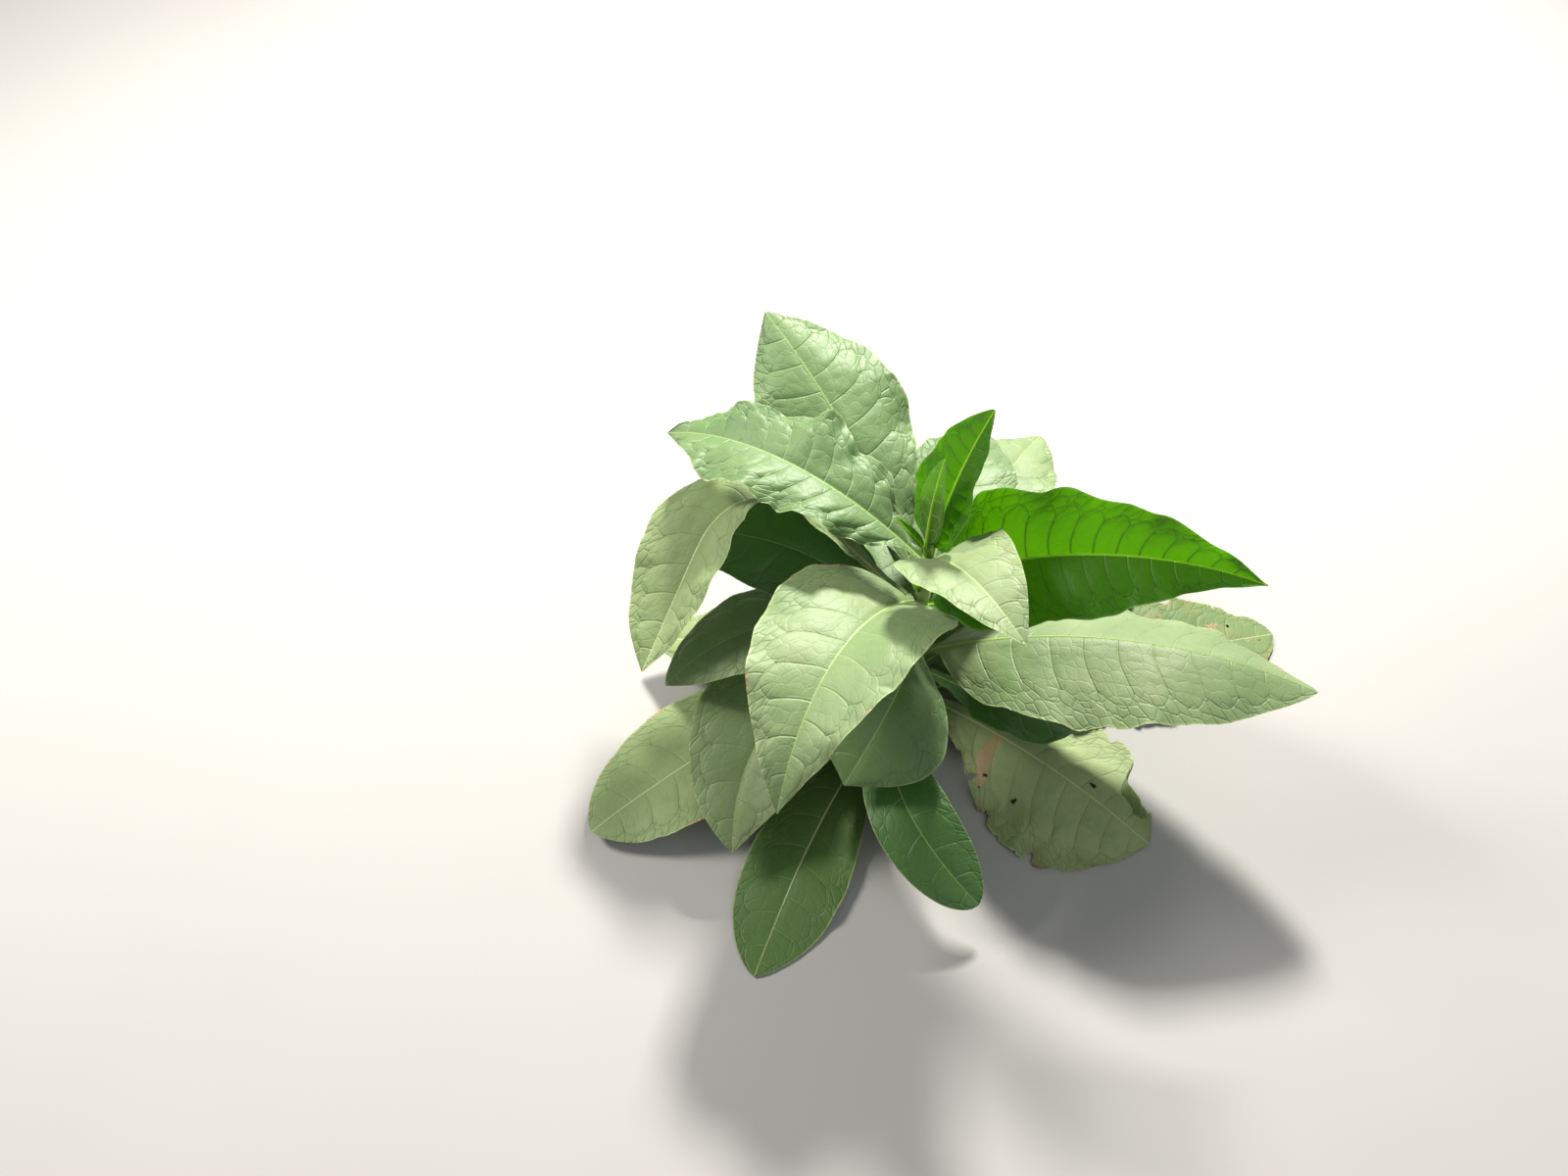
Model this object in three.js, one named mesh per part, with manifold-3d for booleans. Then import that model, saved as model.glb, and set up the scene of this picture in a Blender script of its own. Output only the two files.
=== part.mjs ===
// A broad-leaved tobacco plant rooted in level ground, in millimetres.
// +Z is up, and seen from -Y, +X is to the right.
// The origin is where the middle of the stem meets the ground.
import * as THREE from 'three';
import Module from 'manifold-3d';

const manifold = await Module();
manifold.setup();

// Stem: tapers, leans a little and widens at its foot
const STEM_HEIGHT = 330;
const STEM_FOOT_RADIUS = 12.5;
const STEM_TIP_RADIUS = 5.5;
const STEM_TAPER_POWER = 1.3;
const FLARE_WIDTH = 6;
const FLARE_HEIGHT = 14;
const LEAN_RIGHT = 6;
const SWAY_RIGHT = { reach: 4, turn: 2.6 };
const SWAY_BACK = { reach: 3, turn: 3.4 };
const TIP_ROUNDING = 0.6;
const STEM_RINGS = 16;
const STEM_SIDES = 12;
const RING_CROWDING = 1.5;

// Blades: thickness and rib as shares of a leaf's length
const THICKNESS_SHARE = 0.011;
const THINNEST = 1.6;
const RIB_SHARE = 0.013;
const ROLL_END = 0.35;
const DROOP_POWER = 1.15;
const KNEE_SPAN = 0.45;
const WING_MOST = 9;
const WING_SHARE = 0.02;
const WING_LEAST = 2;
const EDGE_LEAST = 1.2;
const RUFFLE_SHIFT = 2.1;
const SETTLE_SOFTNESS = 3;
const SETTLE_DONE = 30;
const GROUND_CLEARANCE = 0.5;

// Where a leaf meets the stem it starts inside it and is cut back to this gap
const SINK = 3;
const GAP = 0.3;

// Places across a blade, from its right margin to its left one, as shares of its half width
const COLUMNS = [-1, -0.5, 0, 0.5, 1];
const LONG_FROM = 250;
const ROWS_LONG = 13;
const ROWS_SHORT = 8;

const PAINT = {
  stem: { color: 0x86a45c, roughness: 0.62 },
  young: { color: 0x6fae3a, roughness: 0.55 },
  grown: { color: 0x7da069, roughness: 0.62 },
  old: { color: 0x8f9a72, roughness: 0.72 },
};

// What a leaf has unless its own entry says otherwise
const PLAIN_LEAF = {
  swing: 0, roll: 0, fold: 8, curl: 20, ruffle: 4, waves: 3, belly: 0.42, point: 0.9, stalk: 0.06, rest: 0,
  knee: 0,
};

// height: how high the leaf leaves the stem. azimuth: where it points, in degrees from +X
// towards +Y. length and width: of the blade laid flat. rise: how steeply it starts, and
// droop: how far it has bent down at the tip, both in degrees. swing: how far it turns
// sideways by the tip. roll: how far the blade leans to its left. fold: how steeply the
// halves stand up at the midrib, and curl: how far they bend down again at the margins.
// ruffle and waves: depth and number of the waves of the margin. belly: where it is
// widest. point: how slim the tip is. stalk: share of the length with no blade.
// rest: height that it lies on, which is the ground or a leaf under it. knee: the share of
// its length where it bends over all at once, or 0 where it bends evenly.
const LEAVES = [
  { name: 'spear_leaf', kind: 'young', height: 326, azimuth: 216, length: 145, width: 45, rise: 88,
    droop: -12, swing: -18, roll: 4, fold: 3, curl: 12, ruffle: 0, belly: 0.46, point: 0.8 },
  { name: 'bright_top_leaf', kind: 'young', height: 316, azimuth: 32, length: 209, width: 100,
    rise: 82, droop: 22, swing: -3, roll: -4, fold: 16, curl: 4, ruffle: 3, point: 0.76 },
  { name: 'front_top_leaf', kind: 'grown', height: 303, azimuth: 286, length: 245, width: 132,
    rise: 56, droop: 73, swing: 14, roll: 6, fold: 16, curl: 4, ruffle: 3, belly: 0.36,
    point: 0.97 },
  { name: 'puckered_left_leaf', kind: 'grown', height: 296, azimuth: 146, length: 411, width: 153,
    rise: 29, droop: 63, swing: -1, roll: -6, fold: 17, curl: 18, ruffle: 9, waves: 4, belly: 0.48,
    point: 1.07 },
  { name: 'tall_back_leaf', kind: 'grown', height: 240, azimuth: 115, length: 424, width: 192,
    rise: 30, droop: 19, swing: 9, roll: -15, fold: 0, curl: 26, ruffle: 6, belly: 0.6,
    point: 1.04 },
  { name: 'bright_right_leaf', kind: 'young', height: 252, azimuth: 341, length: 417, width: 178,
    rise: 48, droop: 64, swing: 6, roll: 48, fold: 34, ruffle: 7, waves: 4, belly: 0.32,
    point: 1.1 },
  { name: 'broad_front_leaf', kind: 'grown', height: 226, azimuth: 225, length: 394, width: 222,
    rise: 42, droop: 91, swing: 30, roll: 13, fold: 17, curl: 8, ruffle: 5, belly: 0.37,
    point: 1.1 },
  { name: 'middle_back_leaf', kind: 'grown', height: 209, azimuth: 72, length: 350, width: 170,
    rise: 27, droop: 62, ruffle: 5 },
  { name: 'sweeping_left_leaf', kind: 'old', height: 198, azimuth: 143, length: 524, width: 149,
    rise: 24, droop: 51, swing: 101, roll: 21, fold: 29, curl: 19, belly: 0.68, point: 0.96, knee: 0.49 },
  { name: 'curled_front_leaf', kind: 'grown', height: 166, azimuth: 263, length: 247, width: 172,
    rise: 21, droop: 73, swing: -40, roll: -13, curl: 25, belly: 0.64, point: 1.09 },
  { name: 'pale_back_leaf', kind: 'grown', height: 160, azimuth: 60, length: 405, width: 170,
    rise: 25, droop: 52, ruffle: 6, belly: 0.45 },
  { name: 'low_left_leaf', kind: 'grown', height: 132, azimuth: 176, length: 351, width: 131,
    rise: 38, droop: 74, swing: 38, roll: 1, fold: 5, curl: 21, ruffle: 3, belly: 0.54,
    point: 0.84 },
  { name: 'under_right_leaf', kind: 'grown', height: 90, azimuth: 316, length: 230, width: 100,
    rise: 17, droop: 46, swing: 37, roll: -9, curl: 14, belly: 0.65, point: 1.06 },
  { name: 'long_right_leaf', kind: 'grown', height: 116, azimuth: 346, length: 505, width: 241,
    rise: 36, droop: 52, swing: -5, roll: -11, fold: -18, curl: 8, ruffle: 5, belly: 0.47,
    point: 0.81 },
  { name: 'shaded_left_leaf', kind: 'grown', height: 153, azimuth: 152, length: 350, width: 135,
    rise: 42, droop: 72, swing: 12, roll: -16, belly: 0.58 },
  { name: 'front_left_leaf', kind: 'grown', height: 79, azimuth: 190, length: 393, width: 186,
    rise: 26, droop: 63, swing: 81, roll: -4, fold: 13, curl: 9, ruffle: 3, belly: 0.52,
    point: 0.94 },
  { name: 'low_back_leaf', kind: 'grown', height: 92, azimuth: 107, length: 400, width: 180,
    rise: 16, droop: 44, ruffle: 5 },
  { name: 'low_right_back_leaf', kind: 'grown', height: 68, azimuth: 30, length: 400, width: 170,
    rise: 16, droop: 46, ruffle: 5, rest: 2 },
  { name: 'rounded_front_leaf', kind: 'grown', height: 52, azimuth: 240, length: 374, width: 98,
    rise: 26, droop: 59, swing: 86, roll: 18, fold: 5, curl: 9, ruffle: 2, belly: 0.68,
    point: 0.57 },
  { name: 'ground_left_leaf', kind: 'old', height: 63, azimuth: 168, length: 350, width: 160,
    rise: 6, droop: 20, curl: 10, belly: 0.5 },
  { name: 'wide_left_leaf', kind: 'old', height: 42, azimuth: 191, length: 461, width: 219,
    rise: 2, droop: 16, swing: 34, roll: 21, fold: -3, curl: 5, belly: 0.55, point: 0.63,
    rest: 16 },
  { name: 'torn_right_leaf', kind: 'old', height: 32, azimuth: 327, length: 364, width: 252,
    rise: 6, droop: 23, swing: -8, roll: -6, fold: -13, curl: 16, belly: 0.68, point: 0.71 },
  { name: 'ground_back_leaf', kind: 'old', height: 32, azimuth: 82, length: 370, width: 170,
    rise: 4, droop: 18, curl: 10, belly: 0.5 },
  { name: 'ground_front_leaf', kind: 'old', height: 19, azimuth: 236, length: 440, width: 131,
    rise: 7, droop: 25, swing: 15, roll: -2, fold: 2, curl: 6, ruffle: 3, belly: 0.68,
    point: 0.76 },
  { name: 'ground_right_leaf', kind: 'old', height: 20, azimuth: 12, length: 530, width: 190,
    rise: 3, droop: 12, fold: 4, curl: 8, ruffle: 5, belly: 0.6, point: 0.6 },
  { name: 'axil_leaf', kind: 'young', height: 214, azimuth: 328, length: 64, width: 26, rise: 50,
    droop: 40, fold: 16, curl: 14, ruffle: 0 },
  { name: 'side_shoot_leaf', kind: 'young', height: 240, azimuth: 205, length: 46, width: 15,
    rise: 70, droop: 20, fold: 18, curl: 8, ruffle: 0 },
  { name: 'bud_leaf_left', kind: 'young', height: 317, azimuth: 165, length: 62, width: 16,
    rise: 50, droop: 0, fold: 24, curl: 4, ruffle: 0 },
  { name: 'bud_leaf_front', kind: 'young', height: 308, azimuth: 245, length: 44, width: 14,
    rise: 56, droop: -20, fold: 26, curl: 4, ruffle: 0 },
].map((entry) => ({ ...PLAIN_LEAF, ...entry }));

const radians = (degrees) => (degrees * Math.PI) / 180;

const smoothStep = (share) => {
  const held = THREE.MathUtils.clamp(share, 0, 1);
  return held * held * (3 - 2 * held);
};

/** Middle and radius of the stem at a height above the ground. */
function stemAt(height) {
  const share = THREE.MathUtils.clamp(height / STEM_HEIGHT, 0, 1);
  const taper = (STEM_FOOT_RADIUS - STEM_TIP_RADIUS) * share ** STEM_TAPER_POWER;
  return {
    middle: new THREE.Vector3(
      LEAN_RIGHT * share * share + SWAY_RIGHT.reach * Math.sin(SWAY_RIGHT.turn * share),
      SWAY_BACK.reach * (Math.sin(SWAY_BACK.turn * share) - share),
      height,
    ),
    radius: STEM_FOOT_RADIUS - taper + FLARE_WIDTH * Math.exp(-height / FLARE_HEIGHT),
  };
}

/** Joins rings of points into one closed skin, with both end rings filled by fans. */
function closedSkin(rings) {
  const sides = rings[0].length;
  const positions = rings.flat().flatMap((point) => point.toArray());
  const faces = [];
  const at = (ring, side) => ring * sides + (side % sides);
  for (let ring = 0; ring < rings.length - 1; ring++) {
    for (let side = 0; side < sides; side++) {
      const a = at(ring, side);
      const b = at(ring, side + 1);
      const c = at(ring + 1, side + 1);
      const d = at(ring + 1, side);
      faces.push(a, b, c, a, c, d);
    }
  }
  const last = rings.length - 1;
  for (let side = 1; side < sides - 1; side++) {
    faces.push(at(0, 0), at(0, side + 1), at(0, side));
    faces.push(at(last, 0), at(last, side), at(last, side + 1));
  }
  return { positions, faces };
}

/** The stem from its flat cut to its rounded tip, made wider and longer by a margin. */
function stemSkin(margin) {
  const rings = [];
  const addRing = (height, radius) => {
    const { middle } = stemAt(Math.max(height, 0));
    const ring = [];
    for (let side = 0; side < STEM_SIDES; side++) {
      const turn = (2 * Math.PI * side) / STEM_SIDES;
      ring.push(new THREE.Vector3(
        middle.x + radius * Math.cos(turn),
        middle.y + radius * Math.sin(turn),
        height,
      ));
    }
    rings.push(ring);
  };
  for (let ring = 0; ring <= STEM_RINGS; ring++) {
    // rings lie closer together near the ground, where the flare is
    const height = STEM_HEIGHT * (ring / STEM_RINGS) ** RING_CROWDING;
    addRing(ring === 0 ? -margin : height, stemAt(height).radius + margin);
  }
  const rounding = TIP_ROUNDING * STEM_TIP_RADIUS + margin;
  addRing(STEM_HEIGHT + rounding, rounding);
  return closedSkin(rings);
}

/** Half the width of a blade at a share of its length. */
function halfWidth(leaf, share) {
  const along = THREE.MathUtils.clamp((share - leaf.stalk) / (1 - leaf.stalk), 0, 1);
  const widest = (leaf.belly - leaf.stalk) / (1 - leaf.stalk);
  const basePower = (leaf.point * widest) / (1 - widest);
  const body = (along / widest) ** basePower * ((1 - along) / (1 - widest)) ** leaf.point;
  const wing = Math.min(WING_MOST, WING_LEAST + WING_SHARE * leaf.length) * (1 - share);
  return Math.max(Math.hypot(wing, (body * leaf.width) / 2), EDGE_LEAST);
}

/** Places along a midrib, with the directions across and out of the blade at each. */
function midribStations(leaf, steps) {
  const direction = (share) => {
    const bent = leaf.knee ? smoothStep((share - leaf.knee) / KNEE_SPAN + 0.5) : share ** DROOP_POWER;
    const turned = leaf.knee ? bent : share;
    const elevation = radians(leaf.rise - leaf.droop * bent);
    const bearing = radians(leaf.azimuth + leaf.swing * turned);
    return {
      along: new THREE.Vector3(
        Math.cos(elevation) * Math.cos(bearing),
        Math.cos(elevation) * Math.sin(bearing),
        Math.sin(elevation),
      ),
      level: new THREE.Vector3(-Math.sin(bearing), Math.cos(bearing), 0),
    };
  };
  const root = stemAt(leaf.height);
  const outwards = new THREE.Vector3(
    Math.cos(radians(leaf.azimuth)), Math.sin(radians(leaf.azimuth)), 0,
  );
  const place = root.middle.clone().addScaledVector(outwards, root.radius - SINK);
  const stations = [];
  for (let step = 0; step <= steps; step++) {
    const share = step / steps;
    const { along, level } = direction(share);
    const upright = new THREE.Vector3().crossVectors(along, level);
    const roll = radians(leaf.roll * smoothStep(share / ROLL_END));
    stations.push({
      share,
      place: place.clone(),
      across: level.clone().multiplyScalar(Math.cos(roll)).addScaledVector(upright, Math.sin(roll)),
      out: upright.clone().multiplyScalar(Math.cos(roll)).addScaledVector(level, -Math.sin(roll)),
    });
    place.addScaledVector(direction((step + 0.5) / steps).along, leaf.length / steps);
  }
  return stations;
}

/** Raises a height smoothly to the lowest one that a blade may have. */
function settled(height, lowest) {
  const over = (height - lowest) / SETTLE_SOFTNESS;
  return over > SETTLE_DONE ? height : lowest + SETTLE_SOFTNESS * Math.log1p(Math.exp(over));
}

/** Middle surface of a blade at a station, at a share of the half width on either side. */
function bladePoint(leaf, station, side, lowest) {
  const reach = Math.abs(side);
  const fold = radians(leaf.fold);
  const curl = radians(leaf.curl);
  const sideways = ((Math.sin(fold) - Math.sin(fold - curl * reach)) / curl) * Math.sign(side);
  const upwards = (Math.cos(fold - curl * reach) - Math.cos(fold)) / curl;
  const phase = 2 * Math.PI * leaf.waves * station.share + (side > 0 ? 0 : RUFFLE_SHIFT);
  const calm = Math.sqrt(Math.sin(Math.PI * station.share));
  const wave = leaf.ruffle * reach * reach * Math.sin(phase) * calm;
  const half = halfWidth(leaf, station.share);
  const point = station.place.clone()
    .addScaledVector(station.across, half * sideways)
    .addScaledVector(station.out, half * upwards + wave);
  point.z = settled(point.z, lowest);
  return point;
}

/** Normals of a grid of points, from the neighbours of each. */
function gridNormals(grid) {
  const rows = grid.length - 1;
  const columns = grid[0].length - 1;
  return grid.map((row, i) => row.map((_, j) => {
    const along = grid[Math.min(i + 1, rows)][j].clone().sub(grid[Math.max(i - 1, 0)][j]);
    const across = row[Math.min(j + 1, columns)].clone().sub(row[Math.max(j - 1, 0)]);
    return along.cross(across).normalize();
  }));
}

/** A leaf as one closed blade with a rib under its middle. */
function leafSkin(leaf) {
  const thick = Math.max(THINNEST, THICKNESS_SHARE * leaf.length);
  const lowest = leaf.rest + thick / 2 + GROUND_CLEARANCE;
  const stations = midribStations(leaf, leaf.length > LONG_FROM ? ROWS_LONG : ROWS_SHORT);
  const grid = stations.map((station) => COLUMNS.map((side) => bladePoint(leaf, station, side, lowest)));
  const normals = gridNormals(grid);
  const middle = (COLUMNS.length - 1) / 2;
  const rings = grid.map((row, i) => {
    const rib = RIB_SHARE * leaf.length * (1 - stations[i].share);
    const upper = row.map((point, j) => point.clone().addScaledVector(normals[i][j], thick / 2));
    const lower = row.map((point, j) => {
      const depth = thick / 2 + (j === middle ? rib : 0);
      const under = point.clone().addScaledVector(normals[i][j], -depth);
      under.z = Math.max(under.z, GAP);
      return under;
    });
    return [...upper.reverse(), ...lower];
  });
  return closedSkin(rings);
}

function solidFrom({ positions, faces }) {
  return new manifold.Manifold(new manifold.Mesh({
    numProp: 3,
    vertProperties: new Float32Array(positions),
    triVerts: new Uint32Array(faces),
  }));
}

function meshFrom(name, kind, solid) {
  const { vertProperties, triVerts } = solid.getMesh();
  const geometry = new THREE.BufferGeometry();
  geometry.setAttribute('position', new THREE.BufferAttribute(vertProperties, 3));
  geometry.setIndex(new THREE.BufferAttribute(triVerts, 1));
  geometry.computeVertexNormals();
  const material = new THREE.MeshStandardMaterial({ ...PAINT[kind], metalness: 0 });
  const mesh = new THREE.Mesh(geometry, material);
  mesh.name = name;
  return mesh;
}

const plant = new THREE.Group();
plant.name = 'tobacco_plant';
plant.add(meshFrom('stem', 'stem', solidFrom(stemSkin(0))));

const stemWithGap = solidFrom(stemSkin(GAP));
for (const leaf of LEAVES) {
  plant.add(meshFrom(leaf.name, leaf.kind, solidFrom(leafSkin(leaf)).subtract(stemWithGap)));
}

export default plant;
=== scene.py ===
# %% [markdown]
# A tobacco plant grows one stem with large leaves in a spiral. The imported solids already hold
# each leaf's place and outline. Here every leaf becomes a thin blade with veins, puckers and
# light shining through it, and the stem gets its skin. The scene is in metres, and the leaf
# table is in millimetres.

import math
from dataclasses import dataclass

import bpy
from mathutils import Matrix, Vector


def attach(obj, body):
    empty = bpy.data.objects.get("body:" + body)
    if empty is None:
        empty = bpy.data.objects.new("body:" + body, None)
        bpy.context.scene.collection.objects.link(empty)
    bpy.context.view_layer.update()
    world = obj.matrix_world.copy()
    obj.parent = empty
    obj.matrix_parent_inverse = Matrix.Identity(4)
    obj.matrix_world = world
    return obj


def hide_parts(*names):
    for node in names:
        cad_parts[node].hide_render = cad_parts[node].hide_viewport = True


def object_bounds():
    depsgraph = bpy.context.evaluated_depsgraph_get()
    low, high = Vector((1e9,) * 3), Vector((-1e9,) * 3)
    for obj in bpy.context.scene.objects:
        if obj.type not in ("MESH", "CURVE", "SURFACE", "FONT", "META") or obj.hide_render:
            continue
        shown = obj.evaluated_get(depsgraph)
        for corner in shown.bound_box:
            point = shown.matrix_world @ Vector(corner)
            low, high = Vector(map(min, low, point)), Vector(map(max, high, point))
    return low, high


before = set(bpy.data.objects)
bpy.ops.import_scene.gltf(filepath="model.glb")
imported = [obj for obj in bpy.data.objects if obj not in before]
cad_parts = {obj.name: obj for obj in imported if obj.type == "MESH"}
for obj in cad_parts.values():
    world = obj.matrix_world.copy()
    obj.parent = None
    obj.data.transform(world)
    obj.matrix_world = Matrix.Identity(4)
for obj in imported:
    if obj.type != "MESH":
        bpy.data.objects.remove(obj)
cad_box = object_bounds()
print("solids:", len(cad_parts), "box:", [tuple(round(c, 3) for c in p) for p in cad_box])

# %% [markdown]
# The camera looks down on the plant as the photograph does, from the eye height of a
# standing person. That height is an assumption. The tilt and the lens, a phone's wide one,
# are the ones with which the plant's perspective agrees.

# %% Camera
EYE = Vector((-0.164, -1.069, 1.55))
LOOK_DOWN = 50.7
LENS_MM = 31.5
CLIP_START = 0.02

camera_data = bpy.data.cameras.new("eye level")
camera_data.lens = LENS_MM
camera_data.clip_start = CLIP_START
camera = bpy.data.objects.new("eye level", camera_data)
camera.location = EYE
camera.rotation_euler = (math.radians(90 - LOOK_DOWN), 0, 0)
bpy.context.scene.collection.objects.link(camera)
bpy.context.scene.camera = camera
print("camera at", tuple(EYE), "looking down", LOOK_DOWN, "degrees")

# %% [markdown]
# The floor is one pale plane. A lamp behind the plant stands for the sun, because leaves lit
# from behind glow through and level ones shine. A weaker one reaches the leaves on the left
# that turn away from it. A broad lamp in front opens the shadows, and the world adds an even
# grey light. All three aim at the middle of the plant, so one function places them.

# %% Studio
FLOOR_SIZE = 9.0
SUNNY = (1.0, 0.97, 0.91)
COOL = (0.96, 0.98, 1.0)
WORLD_COLOUR = (0.93, 0.96, 1.0, 1)
WORLD_STRENGTH = 0.3


def from_angles(azimuth, elevation):
    """The direction at an azimuth, from +X towards +Y, and an elevation, in degrees."""
    azimuth, elevation = math.radians(azimuth), math.radians(elevation)
    return Vector((
        math.cos(elevation) * math.cos(azimuth),
        math.cos(elevation) * math.sin(azimuth),
        math.sin(elevation),
    ))


plant_middle = (cad_box[0] + cad_box[1]) / 2


def lamp(name, azimuth, elevation, distance, size, power, colour):
    """A square softbox that aims at the middle of the plant."""
    data = bpy.data.lights.new(name, "AREA")
    data.energy, data.size, data.color = power, size, colour
    made = bpy.data.objects.new(name, data)
    place = plant_middle + from_angles(azimuth, elevation) * distance
    made.location = place
    made.rotation_euler = (plant_middle - place).to_track_quat("-Z", "Y").to_euler()
    bpy.context.scene.collection.objects.link(made)


half_floor = FLOOR_SIZE / 2
floor_mesh = bpy.data.meshes.new("floor")
floor_corners = [(x * half_floor, y * half_floor, 0) for x, y in ((-1, -1), (1, -1), (1, 1), (-1, 1))]
floor_mesh.from_pydata(floor_corners, [], [(0, 1, 2, 3)])
floor = bpy.data.objects.new("floor", floor_mesh)
bpy.context.scene.collection.objects.link(floor)

lamp("key behind", azimuth=81, elevation=42, distance=3.0, size=0.4, power=245, colour=SUNNY)
lamp("side light", azimuth=162, elevation=40, distance=3.0, size=0.8, power=85, colour=SUNNY)
lamp("fill in front", azimuth=-60, elevation=45, distance=3.2, size=2.4, power=21, colour=COOL)

world = bpy.data.worlds.new("studio")
world.use_nodes = True
background = world.node_tree.nodes["Background"]
background.inputs["Color"].default_value = WORLD_COLOUR
background.inputs["Strength"].default_value = WORLD_STRENGTH
bpy.context.scene.world = world
bpy.context.scene.view_settings.view_transform = "Standard"
print("lamps and floor are in")

# %% [markdown]
# Shader and geometry trees are both graphs of nodes. They could be clicked together, or made
# node by node in a script, but then the sums are hard to read. A small class wraps a node's
# output, so that sums on outputs can be written as Python: a + b adds a node. Most of its
# methods do no more than that, so a loop makes them from a table of Blender's operations.

# %% Sums on outputs
PLAIN_OPERATIONS = {
    "__add__": "ADD", "__sub__": "SUBTRACT", "__mul__": "MULTIPLY", "__truediv__": "DIVIDE",
    "__pow__": "POWER", "__abs__": "ABSOLUTE", "__lt__": "LESS_THAN", "__gt__": "GREATER_THAN",
    "sine": "SINE", "cosine": "COSINE", "exponent": "EXPONENT", "root": "SQRT", "sign": "SIGN",
    "at_least": "MAXIMUM", "at_most": "MINIMUM",
}
REFLECTED_OPERATIONS = {
    "__radd__": "ADD", "__rsub__": "SUBTRACT", "__rmul__": "MULTIPLY", "__rtruediv__": "DIVIDE",
}


class Wire:
    """One output of a node, for sums."""

    def __init__(self, maker, socket):
        self.maker, self.socket = maker, socket

    def logarithm(self):
        """The natural one."""
        return self.maker.sum("LOGARITHM", self, math.e)

    def to_nearest_whole(self):
        """Distance to the nearest whole number, from 0 to a half."""
        return self.maker.sum("PINGPONG", self, 0.5)

    def rises(self, low, high):
        """0 below low and 1 above high, with a smooth step between."""
        return self.maker.put(
            "ShaderNodeMapRange", {"interpolation_type": "SMOOTHSTEP"},
            {"Value": self, "From Min": low, "From Max": high},
        )

    def near_zero(self, width):
        """1 where this is zero, falling off as a bell of that width."""
        share = self / width
        return (share * share * -1.0).exponent()

    def parts(self):
        """The three numbers of a vector."""
        split = self.maker.put("ShaderNodeSeparateXYZ", {}, {0: self})
        return [Wire(self.maker, output) for output in split.socket.node.outputs]


def operation_method(operation, reflected):
    """A method of Wire that adds one Math node. A reflected one has the wire on the right."""
    def work(self, *others):
        values = (*others, self) if reflected else (self, *others)
        return self.maker.sum(operation, *values)
    return work


for reflected, operations in ((False, PLAIN_OPERATIONS), (True, REFLECTED_OPERATIONS)):
    for method, operation in operations.items():
        setattr(Wire, method, operation_method(operation, reflected))
print("operations on outputs:", len(PLAIN_OPERATIONS) + len(REFLECTED_OPERATIONS))

# %% [markdown]
# The maker adds the nodes. A sum becomes a Math node, or a Vector Math node where one side is
# a vector, and every other node comes from one method, put. A Mix node has sockets of the
# same name for each kind of data, so those for colours are picked by their numbers.

# %% Maker of nodes
MIX_SHARE, MIX_FIRST, MIX_SECOND = 0, 6, 7
MIX_RESULT = 2


class Maker:
    """Adds nodes to one tree."""

    def __init__(self, tree):
        self.tree = tree

    def feed(self, socket, value):
        """Links a wire to a socket, or sets a plain value on it."""
        if isinstance(value, Wire):
            self.tree.links.new(value.socket, socket)
        else:
            socket.default_value = value

    def put(self, kind, settings=None, values=None, output=0):
        """Adds a node with its settings and the values of its inputs, and returns one output."""
        node = self.tree.nodes.new(kind)
        for name, setting in (settings or {}).items():
            setattr(node, name, setting)
        for name, value in (values or {}).items():
            self.feed(node.inputs[name], value)
        return Wire(self, node.outputs[output])

    def sum(self, operation, *values):
        """A Math node, or a Vector Math node where one of the values is a vector."""
        wires = [value for value in values if isinstance(value, Wire)]
        vectors = [wire for wire in wires if wire.socket.type == "VECTOR"]
        if not vectors:
            return self.put("ShaderNodeMath", {"operation": operation}, dict(enumerate(values)))
        if operation == "MULTIPLY":
            vector = vectors[0]
            scale = values[1] if values[0] is vector else values[0]
            if isinstance(scale, (int, float)) or scale not in vectors:
                return self.put(
                    "ShaderNodeVectorMath", {"operation": "SCALE"}, {0: vector, "Scale": scale},
                )
        return self.put("ShaderNodeVectorMath", {"operation": operation}, dict(enumerate(values)))

    def vector(self, x, y, z):
        """A vector of three numbers."""
        return self.put("ShaderNodeCombineXYZ", {}, {0: x, 1: y, 2: z})

    def mix(self, share, first, second):
        """A colour between two, as a share of the second."""
        values = {MIX_SHARE: share, MIX_FIRST: first, MIX_SECOND: second}
        return self.put("ShaderNodeMix", {"data_type": "RGBA"}, values, MIX_RESULT)

    def on_object(self):
        """The place on the piece, in its own coordinates."""
        return self.put("ShaderNodeTexCoord", output="Object")

    def noise(self, place, scale, detail=2.0, rough=0.5):
        """A cloudy pattern, mostly between 0.3 and 0.7."""
        return self.put(
            "ShaderNodeTexNoise", {},
            {"Vector": place, "Scale": scale, "Detail": detail, "Roughness": rough},
        )

    def cells(self, place, scale, jitter=0.85):
        """Distance to the nearest wall between the cells of a net, in cell sizes."""
        return self.put(
            "ShaderNodeTexVoronoi", {"feature": "DISTANCE_TO_EDGE"},
            {"Vector": place, "Scale": scale, "Randomness": jitter},
        )


def new_shader(name):
    """A material with an empty tree, and the maker and output node of it."""
    material = bpy.data.materials.new(name)
    material.use_nodes = True
    material.node_tree.nodes.clear()
    maker = Maker(material.node_tree)
    return material, maker, material.node_tree.nodes.new("ShaderNodeOutputMaterial")


print("node makers are ready")

# %% [markdown]
# The floor's finish is a plain pale grey with a very faint mottling, so that it reads as a
# studio floor and throws soft light up under the leaves. Colours are given as they are seen
# on a screen, and one function turns them into the linear ones that shaders use.

# %% Floor finish
def srgb(red, green, blue):
    """The linear colour of a screen colour that is given from 0 to 255."""
    def linear(level):
        share = level / 255
        return share / 12.92 if share <= 0.04045 else ((share + 0.055) / 1.055) ** 2.4
    return (linear(red), linear(green), linear(blue), 1.0)


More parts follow.
